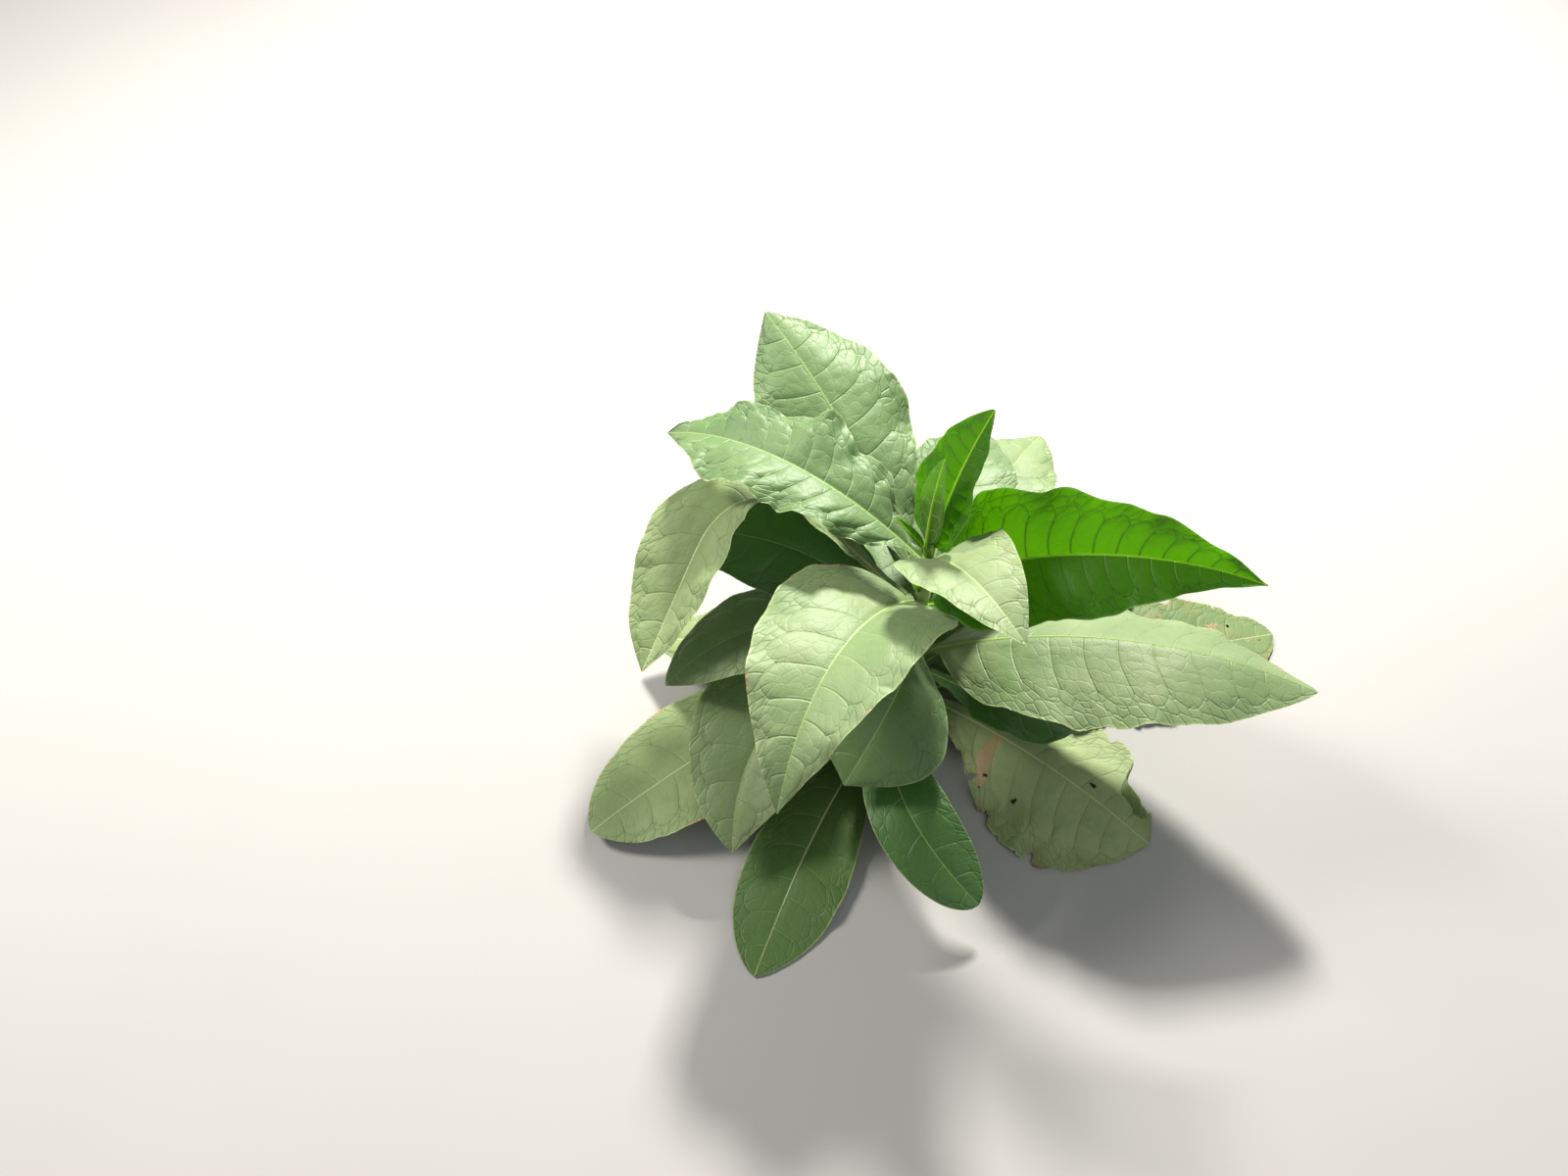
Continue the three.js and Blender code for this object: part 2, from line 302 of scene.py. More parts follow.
FLOOR_LIGHT = srgb(168, 166, 163)
FLOOR_DARK = srgb(164, 162, 159)

floor_paint, make, output = new_shader("pale floor")
here = make.on_object()
mottle = make.noise(here, 3.0)
surface = make.put(
    "ShaderNodeBsdfPrincipled", {},
    {"Base Color": make.mix(mottle, FLOOR_DARK, FLOOR_LIGHT), "Roughness": 0.9},
)
make.feed(output.inputs["Surface"], surface)
floor_mesh.materials.append(floor_paint)
print("floor finish made")

# %% [markdown]
# Every leaf follows one rule: a midrib that starts at the stem, droops and may swing sideways,
# and an outline of which the halves fold up at the midrib and curl down at the margins. The
# table holds what differs from leaf to leaf, in millimetres and degrees, top leaf first. It
# is the table that the solids were made from, with how dusty, aged and puckered each leaf is.
# The dust value also holds painted light: leaves that are lit are set paler, and leaves in
# shade darker.

# %% The leaf table
MM = 0.001


@dataclass
class Leaf:
    """One leaf's form and looks."""

    kind: str               # young, grown or old
    height: float           # how high it leaves the stem
    azimuth: float          # where it points, from +X towards +Y
    length: float
    width: float
    rise: float             # how steeply it starts
    droop: float            # how far it has bent down at the tip
    swing: float = 0        # how far it turns sideways by the tip
    roll: float = 0         # how far the blade leans to its left
    fold: float = 8         # how steeply the halves stand up at the midrib
    curl: float = 20        # how far they bend down again at the margins
    ruffle: float = 4       # depth of the margin's waves
    waves: float = 3
    belly: float = 0.42     # where it is widest, as a share of its length
    point: float = 0.9      # how slim the tip is
    stalk: float = 0.06     # share of the length with no blade
    rest: float = 0         # height that it lies on
    knee: float = 0         # share of its length where it bends over, 0 if it bends evenly
    spacing: float = 44     # distance between side veins
    # The dust value is partly dust and partly painted light: higher on lit leaves, lower on shaded ones.
    dust_and_light: float = 0.5       # how dusty and pale it looks
    age: float = 0.0        # how yellow and brown it has gone
    pucker: float = 1.0     # how deeply it is quilted between the veins
    torn: float = 0.0       # how ragged its margin is
    holes: float = 0.0      # how much of it has been eaten away
    scar: float = 0.0       # share of its length where a dry streak crosses one half
    turned: float = 0.0     # share of its length where the left margin has turned up


LEAVES = {
    "spear_leaf": Leaf("young", 326, 216, 145, 45, 88, -12, swing=-18, roll=4, fold=3, curl=12,
        ruffle=0, belly=0.46, point=0.8, pucker=0.5),
    "bright_top_leaf": Leaf("young", 316, 32, 209, 100, 82, 22, swing=-3, roll=-4, fold=16,
        curl=4, ruffle=3, point=0.76, spacing=20, dust_and_light=0.05, pucker=0.8),
    "front_top_leaf": Leaf("grown", 303, 286, 245, 132, 56, 73, swing=14, roll=6, fold=16,
        curl=4, ruffle=3, belly=0.36, point=0.97, spacing=34, dust_and_light=1.0, pucker=0.7),
    "puckered_left_leaf": Leaf("grown", 296, 146, 411, 153, 29, 63, swing=-1, roll=-6, fold=17,
        curl=18, ruffle=9, waves=4, belly=0.48, point=1.07, spacing=31, dust_and_light=0.4, pucker=1.8),
    "tall_back_leaf": Leaf("grown", 240, 115, 424, 192, 30, 19, swing=9, roll=-15, fold=0,
        curl=26, ruffle=6, belly=0.6, point=1.04, pucker=1.2),
    "bright_right_leaf": Leaf("young", 252, 341, 417, 178, 48, 64, swing=6, roll=48, fold=34,
        ruffle=7, waves=4, belly=0.32, point=1.1, spacing=26, dust_and_light=0.0, pucker=0.8),
    "broad_front_leaf": Leaf("grown", 226, 225, 394, 222, 42, 91, swing=30, roll=13, fold=17,
        curl=8, ruffle=5, belly=0.37, point=1.1, dust_and_light=0.8, age=0.15),
    "middle_back_leaf": Leaf("grown", 209, 72, 350, 170, 27, 62, ruffle=5),
    "sweeping_left_leaf": Leaf("old", 198, 143, 524, 149, 24, 51, swing=101, roll=21, fold=29,
        curl=19, belly=0.68, point=0.96, knee=0.49, spacing=38, dust_and_light=0.65, age=0.04,
        pucker=1.3),
    "curled_front_leaf": Leaf("grown", 166, 263, 247, 172, 21, 73, swing=-40, roll=-13, curl=25,
        belly=0.64, point=1.09, dust_and_light=0.45),
    "pale_back_leaf": Leaf("grown", 160, 60, 405, 170, 25, 52, ruffle=6, belly=0.45, dust_and_light=0.8,
        age=0.2),
    "low_left_leaf": Leaf("grown", 132, 176, 351, 131, 38, 74, swing=38, roll=1, fold=5,
        curl=21, ruffle=3, belly=0.54, point=0.84, dust_and_light=0.7),
    "under_right_leaf": Leaf("grown", 90, 316, 230, 100, 17, 46, swing=37, roll=-9, curl=14,
        belly=0.65, point=1.06, dust_and_light=0.1, pucker=0.6),
    "long_right_leaf": Leaf("grown", 116, 346, 505, 241, 36, 52, swing=-5, roll=-11, fold=-18,
        curl=8, ruffle=5, belly=0.47, point=0.81, dust_and_light=0.85, pucker=0.85),
    "shaded_left_leaf": Leaf("grown", 153, 152, 350, 135, 42, 72, swing=12, roll=-16,
        belly=0.58, dust_and_light=0.2),
    "front_left_leaf": Leaf("grown", 79, 190, 393, 186, 26, 63, swing=81, roll=-4, fold=13,
        curl=9, ruffle=3, belly=0.52, point=0.94, dust_and_light=0.9, age=0.1),
    "low_back_leaf": Leaf("grown", 92, 107, 400, 180, 16, 44, ruffle=5, dust_and_light=0.4),
    "low_right_back_leaf": Leaf("grown", 68, 30, 400, 170, 16, 46, ruffle=5, rest=2, dust_and_light=0.4),
    "rounded_front_leaf": Leaf("grown", 52, 240, 374, 98, 26, 59, swing=86, roll=18, fold=5,
        curl=9, ruffle=2, belly=0.68, point=0.57, dust_and_light=0.1, pucker=0.4),
    "ground_left_leaf": Leaf("old", 63, 168, 350, 160, 6, 20, curl=10, belly=0.5, dust_and_light=0.6,
        age=0.3),
    "wide_left_leaf": Leaf("old", 42, 191, 461, 219, 2, 16, swing=34, roll=21, fold=-3, curl=5,
        belly=0.55, point=0.63, rest=16, dust_and_light=0.6, age=0.14, pucker=1.2),
    "torn_right_leaf": Leaf("old", 32, 327, 364, 252, 6, 23, swing=-8, roll=-6, fold=-13,
        curl=16, belly=0.68, point=0.71, spacing=34, dust_and_light=1.0, age=0.3, pucker=2.0, torn=0.2,
        holes=0.4, scar=0.36, turned=0.885),
    "ground_back_leaf": Leaf("old", 32, 82, 370, 170, 4, 18, curl=10, belly=0.5, dust_and_light=0.6,
        age=0.4, torn=0.1, holes=0.3),
    "ground_front_leaf": Leaf("old", 19, 236, 440, 131, 7, 25, swing=15, roll=-2, fold=2,
        curl=6, ruffle=3, belly=0.68, point=0.76, dust_and_light=0.0, age=0.08, pucker=0.3, holes=0.15),
    "ground_right_leaf": Leaf("old", 20, 12, 530, 190, 3, 12, fold=4, curl=8, ruffle=5,
        belly=0.6, point=0.6, dust_and_light=0.2, age=0.5, torn=0.26, holes=0.9),
    "axil_leaf": Leaf("young", 214, 328, 64, 26, 50, 40, fold=16, curl=14, ruffle=0, dust_and_light=0,
        pucker=0.3),
    "side_shoot_leaf": Leaf("young", 240, 205, 46, 15, 70, 20, fold=18, curl=8, ruffle=0,
        dust_and_light=0, pucker=0.2),
    "bud_leaf_left": Leaf("young", 317, 165, 62, 16, 50, 0, fold=24, curl=4, ruffle=0, dust_and_light=0.2,
        pucker=0.2),
    "bud_leaf_front": Leaf("young", 308, 245, 44, 14, 56, -20, fold=26, curl=4, ruffle=0,
        dust_and_light=0.2, pucker=0.2),
}
print("leaves in the table:", len(LEAVES))

# %% [markdown]
# The stem tapers, leans a little and widens at its foot. Leaves start from its surface, so its
# middle and radius at any height come from one function.

# %% Stem rule
STEM_HEIGHT = 330.0
STEM_FOOT_RADIUS = 12.5
STEM_TIP_RADIUS = 5.5
STEM_TAPER_POWER = 1.3
FLARE_WIDTH = 6.0
FLARE_HEIGHT = 14.0
LEAN_RIGHT = 6
SWAY_RIGHT, SWAY_RIGHT_TURN = 4, 2.6
SWAY_BACK, SWAY_BACK_TURN = 3, 3.4


def stem_at(height):
    """Middle and radius of the stem at a height, all in millimetres."""
    share = min(max(height / STEM_HEIGHT, 0), 1)
    middle = Vector((
        LEAN_RIGHT * share * share + SWAY_RIGHT * math.sin(SWAY_RIGHT_TURN * share),
        SWAY_BACK * math.sin(SWAY_BACK_TURN * share) - SWAY_BACK * share,
        height,
    ))
    taper = (STEM_FOOT_RADIUS - STEM_TIP_RADIUS) * share ** STEM_TAPER_POWER
    return middle, STEM_FOOT_RADIUS - taper + FLARE_WIDTH * math.exp(-height / FLARE_HEIGHT)


print("stem radius in mm at its foot and tip:", [round(stem_at(z)[1], 1) for z in (0, STEM_HEIGHT)])

# %% [markdown]
# The midrib of a leaf is a path. Each of its points carries the direction across the blade,
# the direction out of it and half the blade's width there. Python walks along the path once,
# because each step starts where the last one ended, and hands it to Geometry Nodes as a line
# of points with attributes.

# %% Midrib paths
SINK = 3.0
ROLL_END = 0.35
DROOP_POWER = 1.15
KNEE_SPAN = 0.45
WING_MOST = 9
WING_LEAST = 2
WING_SHARE = 0.02
EDGE_LEAST = 1.2
CAD_THICKNESS_SHARE = 0.011
CAD_THINNEST = 1.6
GROUND_CLEARANCE = 0.5
SETTLE_SOFTNESS = 3.0
SETTLE_DONE = 30.0


def half_width(leaf, share):
    """Half the width of a blade, in millimetres, at a share of its length."""
    along = min(max((share - leaf.stalk) / (1 - leaf.stalk), 0), 1)
    widest = (leaf.belly - leaf.stalk) / (1 - leaf.stalk)
    base_power = leaf.point * widest / (1 - widest)
    body = (along / widest) ** base_power * ((1 - along) / (1 - widest)) ** leaf.point
    wing = min(WING_MOST, WING_LEAST + WING_SHARE * leaf.length) * (1 - share)
    return max(math.hypot(wing, body * leaf.width / 2), EDGE_LEAST)


def smooth_step(share):
    """Rises from 0 to 1 with a soft start and end."""
    held = min(max(share, 0), 1)
    return held * held * (3 - 2 * held)


def lowest_of(leaf):
    """The lowest height that the middle of a blade may have."""
    return leaf.rest + max(CAD_THINNEST, CAD_THICKNESS_SHARE * leaf.length) / 2 + GROUND_CLEARANCE


def midrib_path(leaf, steps):
    """Points along a midrib in millimetres: place, direction across, direction out, half width."""
    def direction(share):
        bent = smooth_step((share - leaf.knee) / KNEE_SPAN + 0.5) if leaf.knee else share ** DROOP_POWER
        elevation = math.radians(leaf.rise - leaf.droop * bent)
        bearing = math.radians(leaf.azimuth + leaf.swing * (bent if leaf.knee else share))
        along = Vector((
            math.cos(elevation) * math.cos(bearing),
            math.cos(elevation) * math.sin(bearing),
            math.sin(elevation),
        ))
        return along, Vector((-math.sin(bearing), math.cos(bearing), 0))

    middle, radius = stem_at(leaf.height)
    bearing = math.radians(leaf.azimuth)
    place = middle + Vector((math.cos(bearing), math.sin(bearing), 0)) * (radius - SINK)
    path = []
    for step in range(steps + 1):
        share = step / steps
        along, level = direction(share)
        upright = along.cross(level)
        roll = math.radians(leaf.roll) * smooth_step(share / ROLL_END)
        across = level * math.cos(roll) + upright * math.sin(roll)
        out = upright * math.cos(roll) - level * math.sin(roll)
        path.append((place.copy(), across, out, half_width(leaf, share)))
        place += direction((step + 0.5) / steps)[0] * leaf.length / steps
    return path


def path_mesh(name, points, attributes):
    """A line of points as a mesh, in metres, with attributes of numbers or vectors."""
    mesh = bpy.data.meshes.new(name)
    links = [(i, i + 1) for i in range(len(points) - 1)]
    mesh.from_pydata([point * MM for point in points], links, [])
    for label, values in attributes.items():
        if isinstance(values[0], Vector):
            stored = mesh.attributes.new(label, "FLOAT_VECTOR", "POINT")
            stored.data.foreach_set("vector", [number for value in values for number in value])
        else:
            stored = mesh.attributes.new(label, "FLOAT", "POINT")
            stored.data.foreach_set("value", values)
    return mesh


print("longest midrib:", max(leaf.length for leaf in LEAVES.values()), "mm")

# %% [markdown]
# A geometry tree is made once and used for many pieces. This helper builds its group with
# named inputs. Another one puts the tree on a piece as a modifier, sets each input by its
# identifier, turns the result into a plain mesh and removes the modifier.

# %% Geometry tree helpers
def new_geometry_tree(name, inputs):
    """A geometry group with these inputs, its maker, its inputs as wires and its output node."""
    group = bpy.data.node_groups.new(name, "GeometryNodeTree")
    group.interface.new_socket(name="Geometry", in_out="INPUT", socket_type="NodeSocketGeometry")
    for label, kind in inputs.items():
        group.interface.new_socket(name=label, in_out="INPUT", socket_type="NodeSocket" + kind)
    group.interface.new_socket(name="Geometry", in_out="OUTPUT", socket_type="NodeSocketGeometry")
    maker = Maker(group)
    entry = group.nodes.new("NodeGroupInput")
    given = {socket.name: Wire(maker, socket) for socket in entry.outputs if socket.name}
    return group, maker, given, group.nodes.new("NodeGroupOutput")


def grown(name, start, group, values):
    """The plain mesh that a geometry tree makes from a starting mesh."""
    holder = bpy.data.objects.new(name + " start", start)
    bpy.context.scene.collection.objects.link(holder)
    modifier = holder.modifiers.new("grow", "NODES")
    modifier.node_group = group
    for item in group.interface.items_tree:
        if item.in_out == "INPUT" and item.name in values:
            modifier[item.identifier] = values[item.name]
    graph = bpy.context.evaluated_depsgraph_get()
    made = bpy.data.meshes.new_from_object(
        holder.evaluated_get(graph), preserve_all_data_layers=True, depsgraph=graph,
    )
    holder.modifiers.remove(modifier)
    bpy.data.objects.remove(holder)
    made.name = name
    return made


def piece(name, mesh, slot, *nodes):
    """Shows a finished mesh, rides it on the plant and lets it stand for its solids."""
    made = bpy.data.objects.new(name, mesh)
    bpy.context.scene.collection.objects.link(made)
    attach(made, "root")
    if nodes:
        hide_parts(*nodes)
    return made


print("geometry helpers are ready")

# %% [markdown]
# The veins decide both the shape of a blade and its colour, so one class describes them for
# both kinds of tree. Side veins leave the midrib in turn on either side and sweep towards the
# tip. Before the margin each one bends over to the next, which closes a row of arches. A net
# of small veins fills what is left, faint between the side veins and strong near the margin.

# %% Vein pattern
NET_SIZE = 0.0148
ARCH_FOOT = 0.62
ARCH_RISE = 0.17
ARCH_BLEND = (-0.01, 0.02)
OUTER_START = 0.25
OUTER_SPAN = 0.4
NET_BEND = 0.006
NET_BEND_SCALE = 40.0
SWEEP_AT_RIB = 0.1
SWEEP_GROWTH = 0.42
SPACING_WANDER = 0.5
SPACING_WANDER_SCALE = 8.0


class Veins:
    """Distances in metres, on one blade, from each kind of vein."""

    def __init__(self, make, reach, half, phase, spacing, seed):
        fold = phase.to_nearest_whole()
        arch = (fold * math.pi).sine() * ARCH_RISE + ARCH_FOOT
        self.to_side = fold * spacing
        self.to_arch = abs(reach - arch) * half
        self.inside = 1 - (reach - arch).rises(*ARCH_BLEND)
        self.outer = (reach - arch + OUTER_START).rises(0.0, OUTER_SPAN)
        self.dome = (fold * math.pi).sine()
        flat = make.vector(phase * spacing, reach * half, seed)
        bend = make.noise(flat, NET_BEND_SCALE, 1.0) * NET_BEND
        self.place = make.vector(phase * spacing + bend, reach * half - bend, seed)
        self.to_net = make.cells(self.place, 1 / NET_SIZE) * NET_SIZE


def vein_phase(make, along, side, half, spacing, plane):
    """Counts the side veins along a blade: a whole number on each vein."""
    reach = abs(side)
    sweep = half * (SWEEP_AT_RIB * reach + SWEEP_GROWTH * reach * reach)
    wander = (make.noise(plane, SPACING_WANDER_SCALE, 1.0) - 0.5) * SPACING_WANDER
    return (along - sweep) / spacing + (side > 0.0) * 0.5 + wander


print("small veins are about", round(NET_SIZE / MM, 1), "mm apart")

# %% [markdown]
# A leaf's blade could be a picture on a flat card, but from the side it would look like one.
# Here a tree lays a flat grid over the path and lifts it into the leaf's form. It takes the
# leaf's values as named inputs, so one tree serves all the leaves. These helpers store a
# value on the points of a piece, and read it again.

# %% Inputs and stored values
BLADE_INPUTS = {
    "Rows": "Int", "Columns": "Int", "Length": "Float", "Fold": "Float", "Curl": "Float",
    "Ruffle": "Float", "Waves": "Float", "Spacing": "Float", "Pucker": "Float", "Torn": "Float",
    "Holes": "Float", "Thickness": "Float", "Lowest": "Float", "Seed": "Float", "Age": "Float",
    "Dust_and_light": "Float", "Scar": "Float", "Turned": "Float", "Channel": "Float",
    "Upper": "Material", "Under": "Material",
}
ABOVE_ZERO = 0.01


def named(make, label, kind="FLOAT"):
    """A stored attribute inside a geometry tree."""
    return make.put("GeometryNodeInputNamedAttribute", {"data_type": kind}, {"Name": label})


def store(make, geometry, label, value, kind="FLOAT", domain="POINT"):
    """Stores a value on a piece inside a geometry tree."""
    return make.put(
        "GeometryNodeStoreNamedAttribute", {"data_type": kind, "domain": domain},
        {"Geometry": geometry, "Name": label, "Value": value},
    )


def from_path(make, path, label, row, kind="FLOAT_VECTOR"):
    """What the path holds at a row."""
    value = make.put("GeometryNodeInputPosition") if label == "place" else named(make, label, kind)
    return make.put("GeometryNodeSampleIndex", {"data_type": kind}, {0: path, 1: value, 2: row})


print("inputs of a blade:", len(BLADE_INPUTS))

# %% [markdown]
# Each point of the grid stores its share of the length and of the half width. The columns lie
# closer together near the midrib, where the two halves meet at an angle.

# %% Grid
RIB_CROWDING = 0.4


def lay_grid(make, given):
    """A flat grid with each point's share of the length and of the half width stored."""
    grid = make.put(
        "GeometryNodeMeshGrid", {},
        {"Size X": 1.0, "Size Y": 1.0, "Vertices X": given["Rows"], "Vertices Y": given["Columns"]},
    )
    flat_x, flat_y, _ = make.put("GeometryNodeInputPosition").parts()
    even = flat_y * 2.0
    side = even * (1 - RIB_CROWDING + RIB_CROWDING * even * even)
    return store(make, grid, "share", make.vector(flat_x + 0.5, side, 0.0), "FLOAT_VECTOR")


print("spacing of the columns at the midrib, against an even one:", 1 - RIB_CROWDING)

# %% [markdown]
# Between its veins a tobacco leaf is quilted. The fields between side veins rise as low domes,
# the veins lie in grooves, and the net of small veins dips the deepest near the margin. All
# of it is real height in the mesh, because a bump alone is flat where light grazes the leaf.

# %% Relief of the blade
FIELD_RISE = 0.0006
FIELD_AT_RIB = 0.3
GROOVE_DEPTH = 0.0008
GROOVE_WIDTH = 0.0038
NET_DEPTH = 0.0009
NET_WIDTH = 0.0036
NET_AT_RIB = 0.28
SOFT_RELIEF = 0.006
SOFT_SCALE = 14.0
FADE_TO_TIP = 0.5
RIB_BARE = (0.002, 0.025)
CHANNEL_WIDTH = 0.0055
CHANNEL_FADE = 0.8


def blade_relief(make, given, share, side, half, phase, plane):
    """Height of the veins and fields above the smooth blade."""
    reach = abs(side)
    veins = Veins(make, reach, half, phase, given["Spacing"], given["Seed"])
    fading = 1 - share * FADE_TO_TIP
    field = veins.dome * veins.inside * FIELD_RISE * (FIELD_AT_RIB + (1 - FIELD_AT_RIB) * reach)
    groove = veins.to_side.near_zero(GROOVE_WIDTH) * veins.inside + veins.to_arch.near_zero(GROOVE_WIDTH)
    net_share = NET_AT_RIB + (1 - NET_AT_RIB) * veins.outer
    quilt = veins.to_net.near_zero(NET_WIDTH) * net_share * NET_DEPTH
    soft = (make.noise(plane, SOFT_SCALE, 2.0) - 0.5) * SOFT_RELIEF
    open_blade = (reach * half).rises(*RIB_BARE)
    channel = (side * half).near_zero(CHANNEL_WIDTH) * given["Channel"] * (1 - share * CHANNEL_FADE)
    bumps = field - groove * GROOVE_DEPTH * fading - quilt + soft
    return bumps * given["Pucker"] * open_blade - channel


print("deepest groove:", round(GROOVE_DEPTH / MM, 1), "mm")

# %% [markdown]
# The halves stand up at the midrib and bend down at the margins as parts of a circle. The
# margin itself grows more than the middle, so it stands in waves with smaller frills and
# crimps on them, and its outline wanders, most on the leaves with deep waves. Old leaves are
# ragged, which notches in the half width make.

# %% Cross section and margin
RUFFLE_SHIFT = 2.1
FRILL_SHARE = 0.35
FRILL_TURNS = 2.7
FRILL_SHIFT = 1.0
RIM_SPREAD = 0.4
CRIMP_SCALE = 34.0
CRIMP_SHARE = 2.4
EDGE_WANDER = 0.06
EDGE_WANDER_SCALE = 18.0
EDGE_WANDER_BY_RUFFLE = 250.0
EDGE_WANDER_MOST = 0.8
CALM_RUFFLE = 0.005
NOTCH_SCALE = 9.0
NOTCH_DEPTH = 6.0
SIDES_APART = 3.0


def cross_section(given, side):
    """How far sideways and up a point lies, in half widths."""
    lean = given["Fold"] - given["Curl"] * abs(side)
    sideways = (given["Fold"].sine() - lean.sine()) / given["Curl"] * side.sign()
    return sideways, (lean.cosine() - given["Fold"].cosine()) / given["Curl"]


def margin_waves(make, given, share, side, along):
    """Heights of the waves and of the crimps on them, and the factor by which the outline wanders."""
    reach = abs(side)
    turn = share * given["Waves"] * math.tau + (side < 0.0) * RUFFLE_SHIFT
    calm = (share * math.pi).sine().at_least(0.0).root()
    frill = FRILL_SHARE * reach * reach * (turn * FRILL_TURNS + FRILL_SHIFT).sine()
    wave = given["Ruffle"] * reach * reach * calm * (turn.sine() + frill)
    rim = make.vector(along, side.sign() * RIM_SPREAD, given["Seed"])
    crimp = (make.noise(rim, CRIMP_SCALE, 2.0) - 0.5) * CRIMP_SHARE * given["Ruffle"] * reach ** 4 * calm
    lively = (given["Ruffle"] - CALM_RUFFLE).at_least(0.0) * EDGE_WANDER_BY_RUFFLE
    uneven = EDGE_WANDER + lively.at_most(EDGE_WANDER_MOST)
    return wave, crimp, 1 + (make.noise(rim, EDGE_WANDER_SCALE, 1.0) - 0.5) * uneven * reach ** 3


def left_by_notches(make, given, share, side):
    """What ragged notches leave of the half width, as a share."""
    place = make.vector(share * NOTCH_SCALE, side.sign() * SIDES_APART, given["Seed"])
    notch = (make.noise(place, 1.0, 4.0, 0.6) - 0.5).at_least(0.0) * NOTCH_DEPTH
    return 1 - notch.at_most(1.0) * given["Torn"]


print("margins may wander by a share of", EDGE_WANDER, "to", EDGE_WANDER + EDGE_WANDER_MOST)

# %% [markdown]
# On one old leaf a short stretch of the margin has turned up, and shows a clean, deep green.
# The points past a line near the margin are wound onto a small cylinder, and lose their dust,
# so that the deep green stands in for light shining through the strip: painted light.

# %% Turned margin
TURN_FROM = 0.5
TURN_RADIUS = 0.009
TURN_LENGTH = 0.075
TURN_FULL = 0.7


def turned_margin(given, share, side, half, across, out):
    """How far a short stretch of the left margin is turned up, and the move that does it."""
    near = 1 - (abs(share - given["Turned"]) / TURN_LENGTH).rises(TURN_FULL, 1.0)
    beyond = ((side - TURN_FROM) * half).at_least(0.0)
    angle = beyond / TURN_RADIUS
    here = near * (given["Turned"] > ABOVE_ZERO)
    back = angle.sine() * TURN_RADIUS - beyond
    up = (1 - angle.cosine()) * TURN_RADIUS
    return here * beyond.rises(0.0, TURN_RADIUS), across * (back * here) + out * (up * here)


print("the turned stretch is wound on a radius of", round(TURN_RADIUS / MM, 1), "mm")

# %% [markdown]
# Holes are faces taken away where a noise is high. A face with every corner on a rim would
# have no thickness later, so it goes too, and what is then exposed is looked at again.

# %% Holes
HOLE_SCALE = 24.0
HOLE_CLUSTER_SCALE = 6.0
HOLE_CLUSTERS = 0.35
HOLE_LIMIT = 1.04
HOLE_LIMIT_LOWERED = 0.27
WHOLE_FOOT = 0.08
BRIDGE_PASSES = 3
NEARLY_ALL = 0.99


def rim_edges(make):
    """1 on each edge that has a single face."""
    return make.put("GeometryNodeInputMeshEdgeNeighbors") < 1.5


def points_on_rim(make):
    """Above zero at each point that a rim edge touches."""
    settings = {"data_type": "FLOAT", "domain": "EDGE"}
    return make.put("GeometryNodeFieldOnDomain", settings, {0: rim_edges(make)})


def without_faces(make, geometry, chosen):
    """The piece with the chosen faces taken away."""
    return make.put(
        "GeometryNodeDeleteGeometry", {"domain": "FACE"}, {"Geometry": geometry, "Selection": chosen},
    )


def drop_bridges(make, geometry):
    """Removes faces with every corner on a rim, because the two sides of the blade meet there."""
    settings = {"data_type": "FLOAT", "domain": "POINT"}
    corners = make.put("GeometryNodeFieldOnDomain", settings, {0: points_on_rim(make) > ABOVE_ZERO})
    return without_faces(make, geometry, corners > NEARLY_ALL)


def drop_holes(make, geometry, given, share, plane):
    """Removes ragged patches of faces, more of them for a larger Holes input."""
    clusters = make.noise(plane, HOLE_CLUSTER_SCALE, 0.0) * HOLE_CLUSTERS
    eaten = make.noise(plane, HOLE_SCALE, 3.0, 0.6) + clusters
    limit = HOLE_LIMIT - given["Holes"] * HOLE_LIMIT_LOWERED
    hole = (eaten > limit) * (share > WHOLE_FOOT) * (given["Holes"] > ABOVE_ZERO)
    geometry = without_faces(make, geometry, hole)
    for _ in range(BRIDGE_PASSES):
        geometry = drop_bridges(make, geometry)
    return geometry


print("passes that clear thin bridges:", BRIDGE_PASSES)

# %% [markdown]
# The blade needs two sides that look different, and no open edge. A second copy of it, turned
# over and a little lower, becomes the underside. On every rim the two meet and are welded, so
# the blade is a closed thin shell whose veins dip above and stand out below, as on a real leaf.

# %% Closed shell
WELD = 1e-6


def close_shell(make, upper, given):
    """Adds the underside a little lower, welded to the upper side along every rim."""
    upper = store(make, upper, "sharp_edge", rim_edges(make), "BOOLEAN", "EDGE")
    upper = store(make, upper, "rim", points_on_rim(make), "FLOAT", "POINT")
    sunk = make.put("GeometryNodeInputNormal") * (given["Thickness"] * -1.0)
    lower = make.put(
        "GeometryNodeSetPosition", {},
        {"Geometry": upper, "Offset": sunk, "Selection": named(make, "rim") < ABOVE_ZERO},
    )
    lower = make.put("GeometryNodeFlipFaces", {}, {0: lower})
    lower = store(make, lower, "underside", True, "BOOLEAN", "FACE")
    both = make.put("GeometryNodeJoinGeometry", {}, {0: upper})
    make.feed(both.socket.node.inputs[0], lower)
    return make.put("GeometryNodeMergeByDistance", {}, {"Geometry": both, "Distance": WELD})


print("rims are welded within", WELD, "m")

# %% [markdown]
# The tree puts these steps together. A blade that would sink into the ground settles on it
# softly instead. Before the holes are made, each point stores what the material reads: where
# it is on the leaf, and how old and dusty the leaf is.

# %% Blade tree
def settled(given, height):
    """A height that softly stays above the lowest one, and is kept where it is well above."""
    softness = SETTLE_SOFTNESS * MM
    over = ((height - given["Lowest"]) / softness).at_most(SETTLE_DONE)
    return (given["Lowest"] + (over.exponent() + 1.0).logarithm() * softness).at_least(height)


